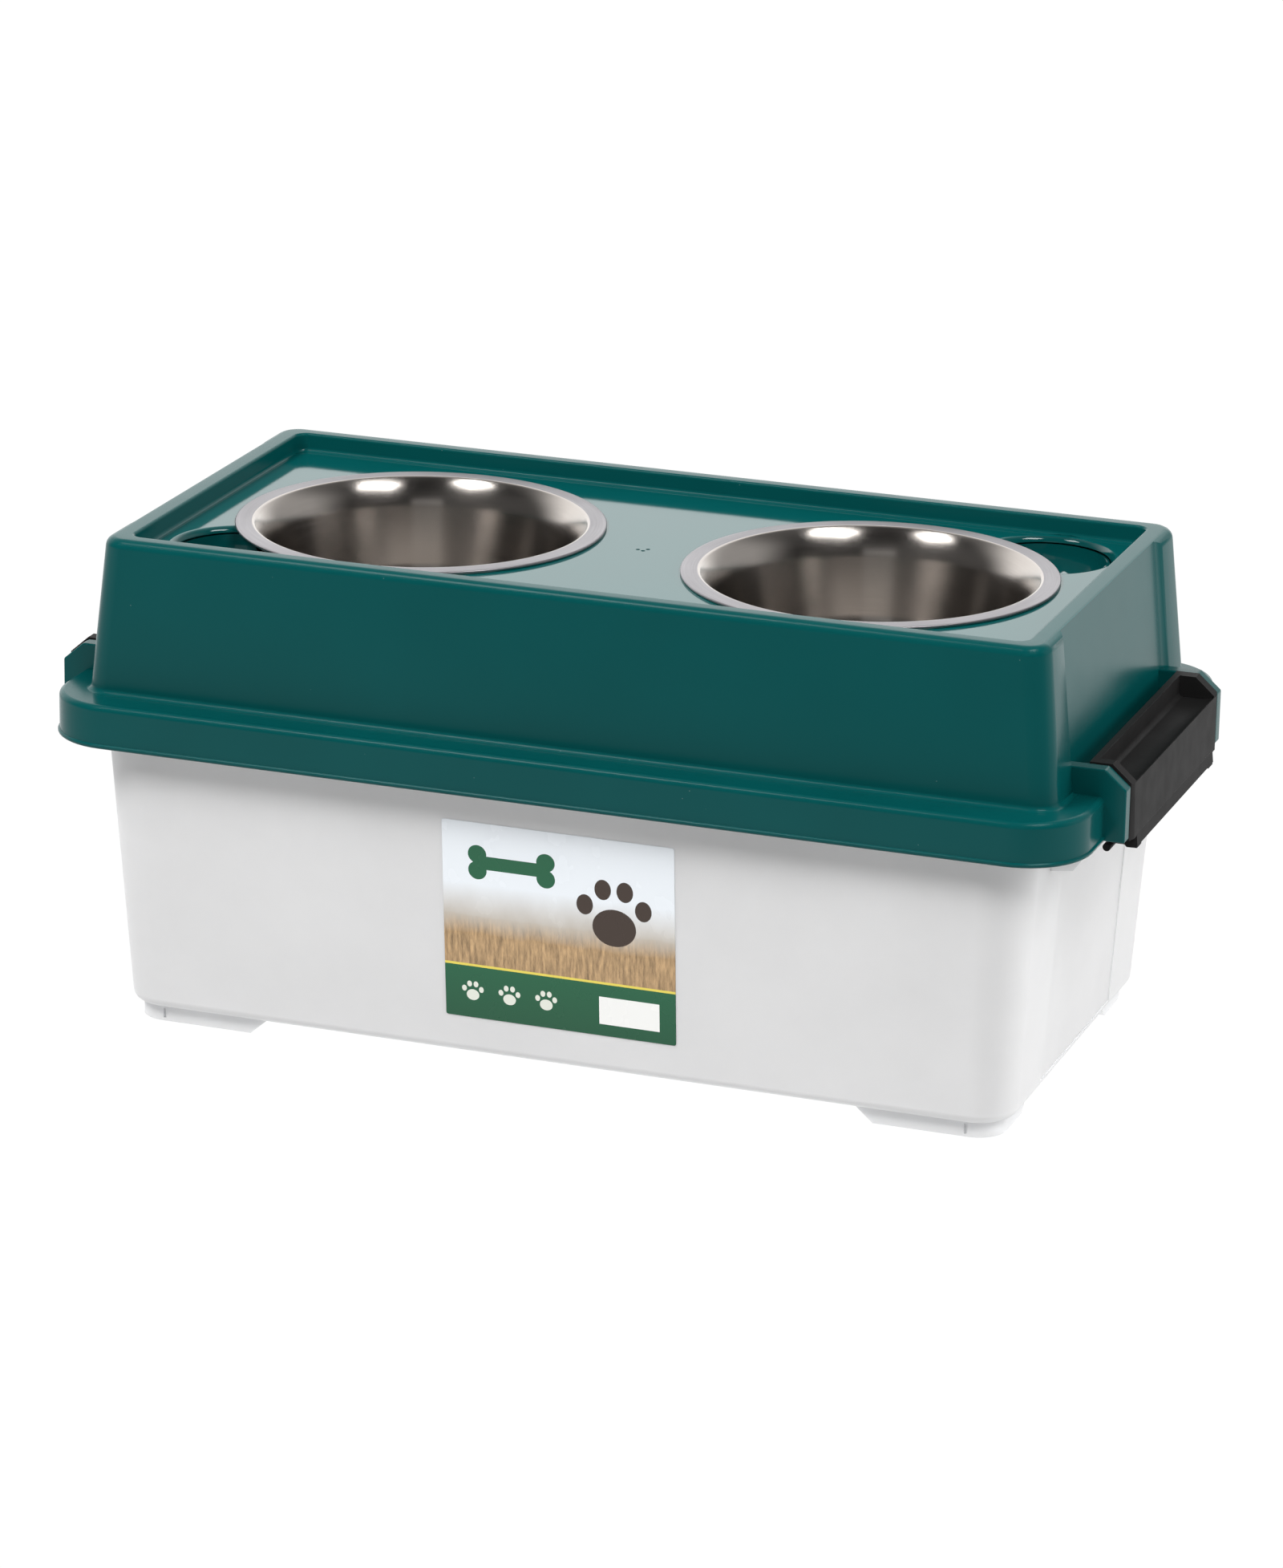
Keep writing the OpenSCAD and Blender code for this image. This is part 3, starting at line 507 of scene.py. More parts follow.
class Finish(Nodes):
    """A material whose patterns stand still on the piece."""

    def __init__(self, name):
        self.material = bpy.data.materials.new(name)
        self.material.use_nodes = True
        super().__init__(self.material.node_tree)
        self.surface = self.nodes["Principled BSDF"]
        self.place = self.add("ShaderNodeTexCoord").outputs["Object"]

    def set(self, **values):
        """Sets the surface's sockets, named with underscores for spaces."""
        for key, value in values.items():
            self.put(self.surface.inputs[key.replace("_", " ")], value)

    def scaled(self, factors, vector=None, location=(0, 0, 0)):
        """The pattern's place, scaled and moved."""
        inputs = {"Vector": vector or self.place, "Scale": factors, "Location": location}
        return self.add("ShaderNodeMapping", inputs).outputs[0]

    def noise(self, scale, detail=2.0, vector=None, roughness=0.5):
        """A soft random value between 0 and 1."""
        inputs = {"Vector": vector or self.place, "Scale": scale, "Detail": detail, "Roughness": roughness}
        return self.add("ShaderNodeTexNoise", inputs).outputs["Fac"]

    def blend(self, factor, first, second):
        """A mix of two colours."""
        node = self.add("ShaderNodeMix", data_type="RGBA")
        for socket, value in zip([s for s in node.inputs if s.enabled], (factor, first, second)):
            self.put(socket, (*value, 1) if isinstance(value, tuple) and len(value) == 3 else value)
        return [s for s in node.outputs if s.enabled][0]

    def bump(self, height, distance, strength=1.0, normal=None):
        """Normals that follow a fine height."""
        inputs = {"Height": height, "Distance": distance, "Strength": strength}
        if normal:
            inputs["Normal"] = normal
        return self.add("ShaderNodeBump", inputs).outputs[0]

    def specks(self, scale, radius, share_kept):
        """1 in small dots, scattered at random."""
        cells = self.add("ShaderNodeTexVoronoi", {"Vector": self.place, "Scale": scale})
        dot = self.math("LESS_THAN", cells.outputs["Distance"], radius * scale)
        chance = self.add("ShaderNodeSeparateColor", {"Color": cells.outputs["Color"]}).outputs[0]
        return self.math("MULTIPLY", dot, self.math("LESS_THAN", chance, share_kept))


def dimmed(colour, factor):
    """A colour made darker, or lighter where the factor is over 1."""
    return tuple(min(1.0, c * factor) for c in colour)


def green_plastic(colour, name, roughness, speck_share):
    """Moulded green plastic: faint flow marks, a fine grain and a little dust."""
    finish = Finish(name)
    colour = tuple(colour)
    flow = finish.spread(finish.noise(14, 3), 0.35, 0.65, 0, 1)
    tone = finish.blend(flow, dimmed(colour, 0.97), dimmed(colour, 1.03))
    dust = finish.specks(85, 0.00028, speck_share)
    tone = finish.blend(finish.math("MULTIPLY", dust, 0.25), tone, (0.3, 0.4, 0.38))
    rough = finish.spread(finish.noise(60, 4), 0.3, 0.7, roughness * 0.94, roughness * 1.06)
    finish.set(Base_Color=tone, Roughness=rough, Normal=finish.bump(finish.noise(2600, 2), 0.00001, 0.35))
    return finish


def satin_green(colour):
    """The lid's walls, flange and ears."""
    finish = green_plastic(colour, "satin_green_plastic", roughness=0.22, speck_share=0.5)
    finish.set(IOR=1.5, Specular_IOR_Level=0.13)
    return finish.material


def glossy_green(colour, name):
    """The lid's tray and hollows."""
    finish = green_plastic(colour, name, roughness=0.075, speck_share=0.25)
    finish.set(IOR=1.5)
    return finish.material


def frosted_plastic(colour):
    """Frosted, translucent plastic with cloudy patches."""
    finish = Finish("frosted_plastic")
    colour = tuple(colour)
    cloud = finish.noise(11, 4, roughness=0.55)
    tone = finish.blend(finish.spread(cloud, 0.35, 0.65, 0, 1), dimmed(colour, 0.965), dimmed(colour, 1.02))
    grain = finish.noise(1800, 2)
    rough = finish.spread(finish.noise(35, 3), 0.3, 0.7, 0.34, 0.44)
    waves = finish.bump(finish.noise(7, 2), 0.0004, 0.3)
    finish.set(Base_Color=tone, Roughness=rough, IOR=1.45, Subsurface_Weight=0.35,
               Subsurface_Radius=(0.9, 0.95, 1.0), Subsurface_Scale=0.02,
               Normal=finish.bump(grain, 0.00001, 0.4, waves))
    return finish.material


def steel(colour, name, roughness, anisotropy, reach):
    """Stainless steel spun about the axes at plus and minus reach on X: fine rings, and broad soft patches."""
    finish = Finish(name)
    colour = tuple(colour)
    parts = finish.add("ShaderNodeSeparateXYZ", {"Vector": finish.place}).outputs
    across = finish.math("SUBTRACT", finish.math("ABSOLUTE", parts[0]), reach)
    radius = finish.math("SQRT", finish.math("ADD", finish.math("MULTIPLY", across, across),
                                             finish.math("MULTIPLY", parts[1], parts[1])))
    turn = finish.math("ARCTAN2", parts[1], across)
    along = finish.math("ADD", radius, parts[2])
    rings = finish.add("ShaderNodeCombineXYZ", {"X": finish.math("MULTIPLY", along, 1000),
                                                "Y": finish.math("MULTIPLY", turn, 1.2)}).outputs[0]
    lines = finish.noise(1.6, 3, rings, 0.7)
    patch = finish.noise(26, 3)
    tone = finish.blend(finish.spread(patch, 0.3, 0.7, 0, 1), dimmed(colour, 0.93), dimmed(colour, 1.05))
    tone = finish.blend(finish.spread(lines, 0.35, 0.65, 0, 0.25), tone, dimmed(colour, 0.85))
    rough = finish.spread(lines, 0.3, 0.7, roughness * 0.85, roughness * 1.2)
    tangent = finish.add("ShaderNodeTangent", direction_type="RADIAL", axis="Z")
    finish.set(Base_Color=tone, Metallic=1.0, Roughness=rough, Anisotropic=anisotropy, Anisotropic_Rotation=0.25,
               Tangent=tangent.outputs[0], Normal=finish.bump(lines, 0.000004, 0.3))
    return finish.material


def black_plastic(colour, name, roughness, level):
    """Black plastic with a fine grain and worn patches."""
    finish = Finish(name)
    colour = tuple(colour)
    rub = finish.noise(55, 4)
    tone = finish.blend(finish.spread(rub, 0.35, 0.7, 0, 1), dimmed(colour, 0.92), dimmed(colour, 1.1))
    rough = finish.spread(finish.noise(90, 3), 0.3, 0.7, roughness * 0.93, roughness * 1.07)
    finish.set(Base_Color=tone, Roughness=rough, IOR=1.5, Specular_IOR_Level=level,
               Normal=finish.bump(finish.noise(2400, 2), 0.000012, 0.5))
    return finish.material


def seal_foam():
    """Grey foam with fine open cells."""
    finish = Finish("seal_foam")
    cells = finish.add("ShaderNodeTexVoronoi", {"Vector": finish.place, "Scale": 1400.0}).outputs["Distance"]
    tone = finish.blend(cells, (0.10, 0.10, 0.10), (0.24, 0.24, 0.24))
    finish.set(Base_Color=tone, Roughness=0.9, Normal=finish.bump(cells, 0.0002, 0.6))
    return finish.material


def printed_label(settings):
    """A glossy printed film: a dry field under a pale sky, a thin line, a green band, and a bone and paws."""
    finish = Finish("printed_label")
    uv = finish.add("ShaderNodeUVMap", uv_map="print").outputs[0]
    u, v, _ = finish.add("ShaderNodeSeparateXYZ", {"Vector": uv}).outputs
    wide = settings.width / settings.height

    def disc(x, y, radius, squash=1.0):
        """1 inside an ellipse."""
        dx = finish.math("MULTIPLY", finish.math("SUBTRACT", u, x), wide / squash)
        dy = finish.math("SUBTRACT", v, y)
        span = finish.math("ADD", finish.math("MULTIPLY", dx, dx), finish.math("MULTIPLY", dy, dy))
        return finish.math("LESS_THAN", span, radius * radius)

    def near(value, middle, half):
        """1 where a value is within half of the middle."""
        return finish.math("LESS_THAN", finish.math("ABSOLUTE", finish.math("SUBTRACT", value, middle)), half)

    def bar(x, y, half_width, half_height):
        """1 inside a rectangle."""
        return finish.math("MULTIPLY", near(u, x, half_width), near(v, y, half_height))

    def any_of(masks):
        """1 inside any of the masks."""
        total = masks[0]
        for mask in masks[1:]:
            total = finish.math("MAXIMUM", total, mask)
        return total

    def paw(x, y, scale):
        """A pad and four toes."""
        toes = [disc(x + dx * scale / wide, y + dy * scale, 0.30 * scale, 0.8)
                for dx, dy in ((-0.85, 0.35), (-0.32, 0.85), (0.32, 0.85), (0.85, 0.35))]
        return any_of(toes + [disc(x, y - 0.25 * scale, 0.55 * scale, 1.15)])

    def bone(x, y, scale):
        """A bar with two knobs at each end."""
        knobs = [disc(x + sx * scale / wide, y + sy * 0.24 * scale, 0.27 * scale)
                 for sx in (-1, 1) for sy in (-1, 1)]
        return any_of(knobs + [bar(x, y, scale / wide, 0.2 * scale)])

    band = settings.band
    grass = finish.noise(1, 4, finish.scaled((70, 9, 1), uv), 0.65)
    haze = finish.noise(1, 3, finish.scaled((7, 4, 1), uv), 0.5)
    field = finish.blend(finish.spread(grass, 0.3, 0.7, 0, 1), dimmed(settings.field, 0.55),
                         dimmed(settings.field, 1.7))
    far = finish.blend(haze, (0.42, 0.37, 0.31), (0.62, 0.58, 0.52))
    height = finish.math("ADD", v, finish.math("MULTIPLY", finish.math("SUBTRACT", haze, 0.5), 0.05))
    ground = finish.blend(finish.spread(height, band + 0.16, band + 0.26, 0, 1), field, far)
    picture = finish.blend(finish.spread(height, band + 0.25, band + 0.42, 0, 1), ground, tuple(settings.sky))
    picture = finish.blend(bone(0.30, 0.80, 0.17), picture, tuple(settings.green))
    picture = finish.blend(paw(0.74, 0.60, 0.17), picture, (0.045, 0.028, 0.02))
    lower = finish.blend(finish.spread(v, 0, band, 0, 1), dimmed(settings.green, 0.75), tuple(settings.green))
    lower = finish.blend(any_of([paw(x, 0.13, 0.05) for x in (0.12, 0.28, 0.44)]), lower, (0.72, 0.74, 0.66))
    lower = finish.blend(bar(0.80, 0.13, 0.13, 0.07), lower, (0.85, 0.85, 0.83))
    picture = finish.blend(finish.math("LESS_THAN", v, band), picture, lower)
    picture = finish.blend(near(v, band, 0.006), picture, tuple(settings.line))
    finish.set(Base_Color=picture, Roughness=finish.spread(haze, 0.3, 0.7, 0.22, 0.3), IOR=1.45)
    return finish.material


def pale_floor():
    """A plain white floor, evenly lit, that passes into shade well in front of the feeder."""
    finish = Finish("pale_floor")
    forward = finish.add("ShaderNodeVectorMath", {0: finish.place, 1: TOWARDS_CAMERA}, operation="DOT_PRODUCT")
    glow = finish.smooth_step(forward.outputs["Value"], SHADE_START, SHADE_END, FLOOR_BRIGHT, FLOOR_SHADE)
    finish.set(Base_Color=(0, 0, 0, 1), Roughness=1.0, Specular_IOR_Level=0.0, Emission_Color=(1, 1, 1, 1),
               Emission_Strength=glow)
    return finish.material


# ---- Container ----

def container_rings(c):
    """The container as one skin: bottom, walls, rim with its lip, inner walls and floor."""
    low, high = c.foot_height, c.height

    def wall(z, inset):
        """A level of the drafted walls."""
        length = between(z, low, high, c.bottom_length, c.top_length)
        width = between(z, low, high, c.bottom_width, c.top_width)
        radius = between(z, low, high, c.corner_radius, c.top_corner_radius)
        return z, rounded(length - 2 * inset, width - 2 * inset, radius - inset)

    def rim(z, inset):
        """A level of the rim and its lip."""
        return z, rounded(c.rim_length - 2 * inset, c.rim_width - 2 * inset, c.rim_radius - inset)

    def turn(radius, base, inset):
        """The rounding between the floor and the walls, from the floor up."""
        return [wall(base + radius * (1 - cos(a)), inset + radius * (1 - sin(a))) for a in quarter()]

    edge = 0.8 * MM
    outer, inner = turn(c.edge_radius, low, 0), turn(c.edge_radius - c.wall, low + c.floor, c.wall)
    lip = [rim(high - c.rim_thickness, c.rim_thickness), rim(high - c.lip_height, c.rim_thickness),
           rim(high - c.lip_height, 0), rim(high - edge, 0), rim(high, edge)]
    return [*outer, wall(high - c.rim_thickness, 0), *lip, wall(high, c.wall), *reversed(inner)]


def container_foot(c):
    """The foot at +X +Y: an L in plan, with sloped ends and a slot."""
    x, y = c.bottom_length / 2 - c.foot_inset, c.bottom_width / 2 - c.foot_inset
    over, out = c.foot_height + 0.5 * MM, 1 * MM
    slope = c.foot_slope * over / c.foot_height

    def leg(corner, length, near, far):
        """A leg up to the corner, with a sloped end."""
        outline = [(corner - length, 0), (corner + out, 0), (corner + out, over), (corner - length - slope, over)]
        return along_y("foot", outline, near, far)

    along = leg(x, c.foot_length, y - c.foot_leg, y + out)
    across = leg(y, c.foot_width, -x - out, -x + c.foot_leg)
    across.data.transform(Matrix.Rotation(pi / 2, 4, "Z"))
    foot = boolean(along, "UNION", [across])
    plan = prism("plan", rounded(2 * x, 2 * y, c.corner_radius - c.foot_inset), -1 * MM, over + 1 * MM)
    boolean(foot, "INTERSECT", [plan])
    near, wide, top = c.bottom_length / 2 - c.foot_slot_set, c.foot_slot, c.foot_height - c.foot_slot
    outline = [(near, wide), (near + wide, wide), (near + wide, top), (near, top)]
    slot = along_y("slot", outline, y - wide, y + out)
    return boolean(foot, "DIFFERENCE", [slot])


def container_bracket(c):
    """The bracket at +X +Y that ties the keeper to the end wall."""
    low = c.height - c.bracket_drop
    wall = between(low, c.foot_height, c.height, c.bottom_length, c.top_length) / 2 - c.wall / 2
    keeper, top = c.rim_length / 2 - 0.5 * MM, c.height - c.rim_thickness / 2
    near = c.keeper_length / 2 + 0.5 * MM
    outline = [(wall, low), (wall + 12 * MM, low + 1.5 * MM), (keeper, c.height - c.keeper_height),
               (keeper, top), (wall, top)]
    return along_y("bracket", outline, near, near + c.bracket_thickness)


def container_keeper(c):
    """The bar at +X, under the lip, that the latch's bead snaps under."""
    outer, top = c.rim_length / 2, c.height - c.lip_height + 0.2 * MM
    low = c.height - c.keeper_height
    outline = [(outer - c.rim_thickness, low), (outer, low), (outer, top), (outer - c.rim_thickness, top)]
    return bevel(along_y("keeper", outline, -c.keeper_length / 2, c.keeper_length / 2), 0.5 * MM)


def end_panel(c):
    """What is cut from the end wall at +X for its shallow panel."""
    rise = c.height - c.foot_height
    angle = atan((c.top_length - c.bottom_length) / 2 / rise)
    half, out, spread = c.panel_width / 2, 20 * MM, 8 * MM
    outline = [(-c.panel_depth, -half), (out, -half - spread), (out, half + spread), (-c.panel_depth, half)]
    panel = prism("panel", outline, c.edge_radius, rise - c.rim_thickness - c.lip_height)
    panel.data.transform(Matrix.Translation((c.bottom_length / 2, 0, c.foot_height)) @ Matrix.Rotation(angle, 4, "Y"))
    return panel


class FEEDER_OT_container(bpy.types.Operator):
    """Build the frosted food container"""
    bl_idname = "feeder.container"
    bl_label = "Container"

    def execute(self, context):
        c = context.scene.feeder_container
        piece = loft("container_shell", container_rings(c))
        boolean(piece, "DIFFERENCE", both_ends(end_panel(c)))
        boolean(piece, "UNION", both_ends(container_keeper(c)))
        boolean(piece, "UNION", four_corners(container_bracket(c)))
        boolean(piece, "UNION", four_corners(container_foot(c)))
        smooth(piece)
        dress(piece, frosted_plastic(c.plastic), "container", ["container"])
        return {"FINISHED"}


class FEEDER_OT_label(bpy.types.Operator):
    """Build the printed label on the front wall"""
    bl_idname = "feeder.label"
    bl_label = "Label"

    def execute(self, context):
        c, s = context.scene.feeder_container, context.scene.feeder_label
        outline = rounded(s.width, s.height, 1.2 * MM)
        face = rounded(s.width - 0.2 * MM, s.height - 0.2 * MM, 1.1 * MM)
        piece = loft("printed_film", [(0, outline), (s.thickness * 0.6, outline), (s.thickness, face)])
        layer = piece.data.uv_layers.new(name="print")
        for loop in piece.data.loops:
            x, y, _ = piece.data.vertices[loop.vertex_index].co
            layer.data[loop.index].uv = (x / s.width + 0.5, y / s.height + 0.5)
        lean = atan((c.top_width - c.bottom_width) / 2 / (c.height - c.foot_height))
        piece.data.transform(
            Matrix.Translation((s.along, -c.bottom_width / 2, c.foot_height)) @ Matrix.Rotation(lean, 4, "X")
            @ Matrix.Translation((0, 0, s.up + s.height / 2)) @ Matrix.Rotation(pi / 2, 4, "X"))
        smooth(piece)
        dress(piece, printed_label(s), "container", ["front_label"])
        return {"FINISHED"}


# ---- Lid ----

def lid_heights(s):
    """Heights above the ground: shelf underside, skirt bottom, tray floor and top."""
    top = s.shelf_top + s.body_height
    return s.shelf_top - s.shelf, s.shelf_top - s.skirt_height, top - s.tray_depth, top


def lid_rings(s):
    """The lid as one skin, from the underside of the tray round the skirt to the tray's floor."""
    under, skirt_low, tray, top = lid_heights(s)
    angles = quarter()

    def body(z, inset):
        """A level of the raised body's drafted walls."""
        length = between(z, s.shelf_top, top, s.foot_length, s.top_length)
        width = between(z, s.shelf_top, top, s.foot_width, s.top_width)
        return z, rounded(length - 2 * inset, width - 2 * inset, s.body_radius - inset)

    def flange(z, inset):
        """A level of the flange and its skirt."""
        return z, rounded(s.flange_length - 2 * inset, s.flange_width - 2 * inset, s.flange_radius - inset)

    def basin(z, outset):
        """A level of the tray's walls."""
        return z, rounded(s.tray_length + 2 * outset, s.tray_width + 2 * outset, s.tray_radius + outset)

    crown, skirt_inset = s.rim_outer - s.wall, s.bead_out + s.skirt
    hollow = [body(top - s.wall - crown * (1 - sin(a)), s.wall + crown * (1 - cos(a))) for a in reversed(angles)]
    inside = [basin(tray - s.tray_floor, s.wall), basin(top - s.wall, s.wall), *hollow, body(under, s.wall),
              flange(under, skirt_inset), flange(skirt_low, skirt_inset)]
    bead = [flange(skirt_low + rise * s.bead_height, inset * s.bead_out)
            for rise, inset in ((0, 1), (0.2, 0.3), (0.4, 0), (0.7, 0), (0.9, 0.4), (1, 1))]
    shelf = [flange(s.shelf_top - s.shelf_edge * (1 - sin(a)), s.bead_out + s.shelf_edge * (1 - cos(a)))
             for a in angles]
    foot = [body(s.shelf_top + s.body_fillet * (1 - cos(a)), -s.body_fillet * (1 - sin(a))) for a in angles]
    rim = [body(top - s.rim_outer * (1 - sin(a)), s.rim_outer * (1 - cos(a))) for a in angles]
    inner = [basin(top - s.rim_inner * (1 - cos(a)), s.rim_inner * (1 - sin(a))) for a in angles]
    floor = [basin(tray + s.tray_fillet * (1 - sin(a)), -s.tray_fillet * (1 - cos(a))) for a in angles]
    return inside + bead + shelf + foot + rim + inner + floor


def well_profile(s, base, base_radius, mouth_radius, fillet, edge, out):
    """A well's or a scoop's outline, moved out by a wall's thickness, or with a rounded mouth where out is 0."""
    tray = s.shelf_top + s.body_height - s.tray_depth
    profile = [(0, base - out)] + arc((base_radius - fillet, base + fillet), fillet + out, -90, 0, 8)
    if out:
        high = tray - s.tray_floor / 2
        return profile + [(mouth_radius + out, high), (0, high)]
    mouth = [(mouth_radius + edge * (1 - cos(a)), tray - edge * (1 - sin(a))) for a in quarter(4)]
    return profile + mouth + [(mouth_radius + edge, tray + 2 * MM), (0, tray + 2 * MM)]


def wells(s, pitch, out):
    """Both wells and both finger scoops, moved out by a wall's thickness."""
    tray = lid_heights(s)[2]
    well = well_profile(s, s.well_height, s.well_base_radius, s.well_radius, s.well_fillet, s.well_edge, out)
    scoop = well_profile(s, tray - s.scoop_depth, s.scoop_radius - s.scoop_draft, s.scoop_radius, s.scoop_fillet,
                         s.scoop_edge, out)
    scoop_place = (pitch / 2 + s.scoop_reach * cos(s.scoop_angle), s.scoop_reach * sin(s.scoop_angle), 0)
    return both_ends(turned("well", well, (pitch / 2, 0, 0))) + both_ends(turned("scoop", scoop, scoop_place, steps=72))


def gate_dots(s):
    """The three small pits of the gate mark in the middle of the tray."""
    tray = lid_heights(s)[2]
    pit = [(0, tray - 1.2 * MM), (0.8 * MM, tray - 1 * MM), (1.2 * MM, tray + 0.2 * MM), (0, tray + 0.2 * MM)]
    places = [(s.gate_radius * cos(radians(a)), s.gate_radius * sin(radians(a)), 0) for a in (25, 205, 290)]
    return [turned("gate_dot", pit, place, steps=16) for place in places]


def end_recess(s, deeper):
    """What is cut from the end wall at +X for its recess; or, made deeper, the block that backs it."""
    angle = atan((s.foot_length - s.top_length) / 2 / s.body_height)
    back, half, out = -s.recess_depth - deeper, s.recess_width / 2 + deeper, 20 * MM
    if deeper:
        front, spread = -s.wall / 2, s.recess_slant
        low, high = -s.shelf, s.body_height - 1 * MM
    else:
        front, spread = back + out, s.recess_slant * out / s.recess_depth
        low, high = 0, s.body_height + out
    outline = [(back, -half), (front, -half - spread), (front, half + spread), (back, half)]
    block = prism("recess", outline, low, high)
    block.data.transform(Matrix.Translation((s.foot_length / 2, 0, s.shelf_top)) @ Matrix.Rotation(-angle, 4, "Y"))
    return block


def ear(s, latch):
    """The ear at +X +Y, with the blind socket for the latch's pin."""
    under, skirt_low, _, top = lid_heights(s)
    wall = between(s.ear_top, s.shelf_top, top, s.foot_length, s.top_length) / 2 - s.recess_depth - s.wall / 2
    skirt = s.flange_length / 2 - s.bead_out - s.skirt
    outline = [(wall, under), (skirt, under), (skirt, skirt_low), (s.ear_reach, skirt_low),
               (s.ear_reach, s.ear_top - s.ear_chamfer_drop), (s.ear_reach - s.ear_chamfer_run, s.ear_top),
               (wall, s.ear_top)]
    piece = bevel(along_y("ear", outline, s.ear_gap_half, s.ear_gap_half + s.ear), 0.8 * MM, 3)
    radius, deep = latch.pin_radius + 0.05 * MM, latch.pin_length + 0.6 * MM
    socket = turned("socket", [(0, -1 * MM), (radius, -1 * MM), (radius, deep), (0, deep)], steps=SMALL_STEPS)
    socket.data.transform(Matrix.Translation((latch.pin_reach, s.ear_gap_half, latch.pin_height))
                          @ Matrix.Rotation(-pi / 2, 4, "X"))
    return boolean(piece, "DIFFERENCE", [socket])


def gasket_band(c, half, low, high, name):
    """A band of half-width half along the gasket's middle line."""
    ends, sides = 8 * MM, 4 * MM
    length, width, radius = c.rim_length - 2 * ends, c.rim_width - 2 * sides, c.rim_radius - sides
    outer = rounded(length + 2 * half, width + 2 * half, radius + half)
    inner = rounded(length - 2 * half, width - 2 * half, radius - half)
    band = prism(name, outer, low, high)
    return boolean(band, "DIFFERENCE", [prism("inner", inner, low - 1 * MM, high + 1 * MM)])


def gasket_ribs(s, c):
    """The two ribs under the shelf that hold the gasket."""
    under = lid_heights(s)[0]
    ribs = gasket_band(c, GROOVE_HALF + s.rib, under - s.rib_height, under + s.shelf / 2, "ribs")
    return boolean(ribs, "DIFFERENCE",
                   [gasket_band(c, GROOVE_HALF, under - 2 * s.rib_height, under + s.shelf, "groove")])


def latch_notch(s, c):
    """What is cut from the skirt at +X, between the ears, for the latch."""
    near, far, half = c.rim_length / 2 - c.rim_thickness, c.rim_length, s.ear_gap_half + 2 * MM
    outline = [(near, -half), (far, -half), (far, half), (near, half)]
    return prism("notch", outline, lid_heights(s)[1] - 1 * MM, c.height)


def paint_lid(piece, s):
    """Satin plastic outside; glossy plastic on the tray, lighter as painted light, and in its hollows, darker as
    painted shade.
    """
    piece.data.materials.clear()
    # The tray's copy of the glossy plastic is painted lighter as painted light, and the hollows' copy darker as painted
    # shade.
    for material in (satin_green(s.plastic), glossy_green(dimmed(s.plastic, 1.2), "glossy_tray_plastic_painted_light"),
                     glossy_green(dimmed(s.plastic, 0.8), "glossy_hollow_plastic_painted_shade")):
        piece.data.materials.append(material)
    tray = lid_heights(s)[2]
    inner_x, inner_y = s.tray_length / 2 - 1.2 * MM, s.tray_width / 2 - 1.2 * MM
    for face in piece.data.polygons:
        x, y, z = face.center
        in_tray = abs(x) < inner_x and abs(y) < inner_y and z < tray + 1 * MM
        if in_tray and z > s.well_height - 0.5 * MM and face.normal.z > -0.1:
            # Tray faces take the copy with painted light, and faces in the hollows the copy with painted shade.
            face.material_index = 1 if z > tray - 0.2 * MM else 2


class FEEDER_OT_lid(bpy.types.Operator):
    """Build the green lid with its tray, wells, scoops and ears"""
    bl_idname = "feeder.lid"
    bl_label = "Lid"

    def execute(self, context):
        scene = context.scene
        s, c, pitch = scene.feeder_lid, scene.feeder_container, scene.feeder_bowl.pitch
        piece = loft("lid_shell", lid_rings(s))
        boolean(piece, "UNION", both_ends(end_recess(s, s.wall)))
        boolean(piece, "DIFFERENCE", both_ends(end_recess(s, 0)))
        boolean(piece, "UNION", wells(s, pitch, s.well_wall))
        boolean(piece, "DIFFERENCE", wells(s, pitch, 0) + gate_dots(s))
        boolean(piece, "DIFFERENCE", both_ends(latch_notch(s, c)))
        boolean(piece, "UNION", four_corners(ear(s, scene.feeder_latch)))
        boolean(piece, "UNION", [gasket_ribs(s, c)])
        smooth(piece)
        paint_lid(piece, s)
        dress(piece, None, "lid", ["lid"])
        return {"FINISHED"}


class FEEDER_OT_gasket(bpy.types.Operator):
    """Build the foam gasket between the lid and the container"""
    bl_idname = "feeder.gasket"
    bl_label = "Gasket"

    def execute(self, context):
        c, s = context.scene.feeder_container, context.scene.feeder_lid
        under = lid_heights(s)[0]
        piece = bevel(gasket_band(c, GASKET_HALF, c.height, under, "foam_gasket"), 0.8 * MM, 3)
        smooth(piece)
        dress(piece, seal_foam(), "lid", ["gasket"])
        return {"FINISHED"}


# ---- Bowls ----

def bowl_profile(b):
    """A bowl from the middle of its outside round the rolled rim to the middle of its inside."""
    rim, mouth, base, steel = b.rim_diameter / 2, b.mouth_diameter / 2, b.base_diameter / 2, b.steel_thickness
    top = b.seat + b.roll_height
    bottom = top - b.height
    fillet, edge, roll = b.base_radius, b.edge_radius, b.roll_height / 2
    apart = b.shoulder - edge
    edge_middle = (mouth, top - steel - edge)
    shoulder_middle = (mouth + apart * sin(b.edge_fall), edge_middle[1] - apart * cos(b.edge_fall))
    base_middle = (base - fillet, bottom + fillet)
    run, rise = shoulder_middle[0] - base_middle[0], shoulder_middle[1] - base_middle[1]
    lean = degrees(atan2(run, rise) - asin((fillet + b.shoulder) / hypot(run, rise)))
    turn = 90 + degrees(b.edge_fall)
    outside = ([(0, bottom)] + arc(base_middle, fillet, -90, -lean, 12)
               + arc(shoulder_middle, b.shoulder, 180 - lean, turn, 10) + arc(edge_middle, edge, turn, 90, 4)
               + [(rim - roll - steel, top - steel), (rim - roll - steel, b.seat)])
    inside = (arc((rim - roll, top - roll), roll, -90, 90, 12) + arc(edge_middle, edge + steel, 90, turn, 6)
              + arc(shoulder_middle, b.shoulder + steel, turn, 180 - lean, 20)
              + arc(base_middle, fillet - steel, -lean, -90, 16) + [(0, bottom + steel)])
    return outside + inside


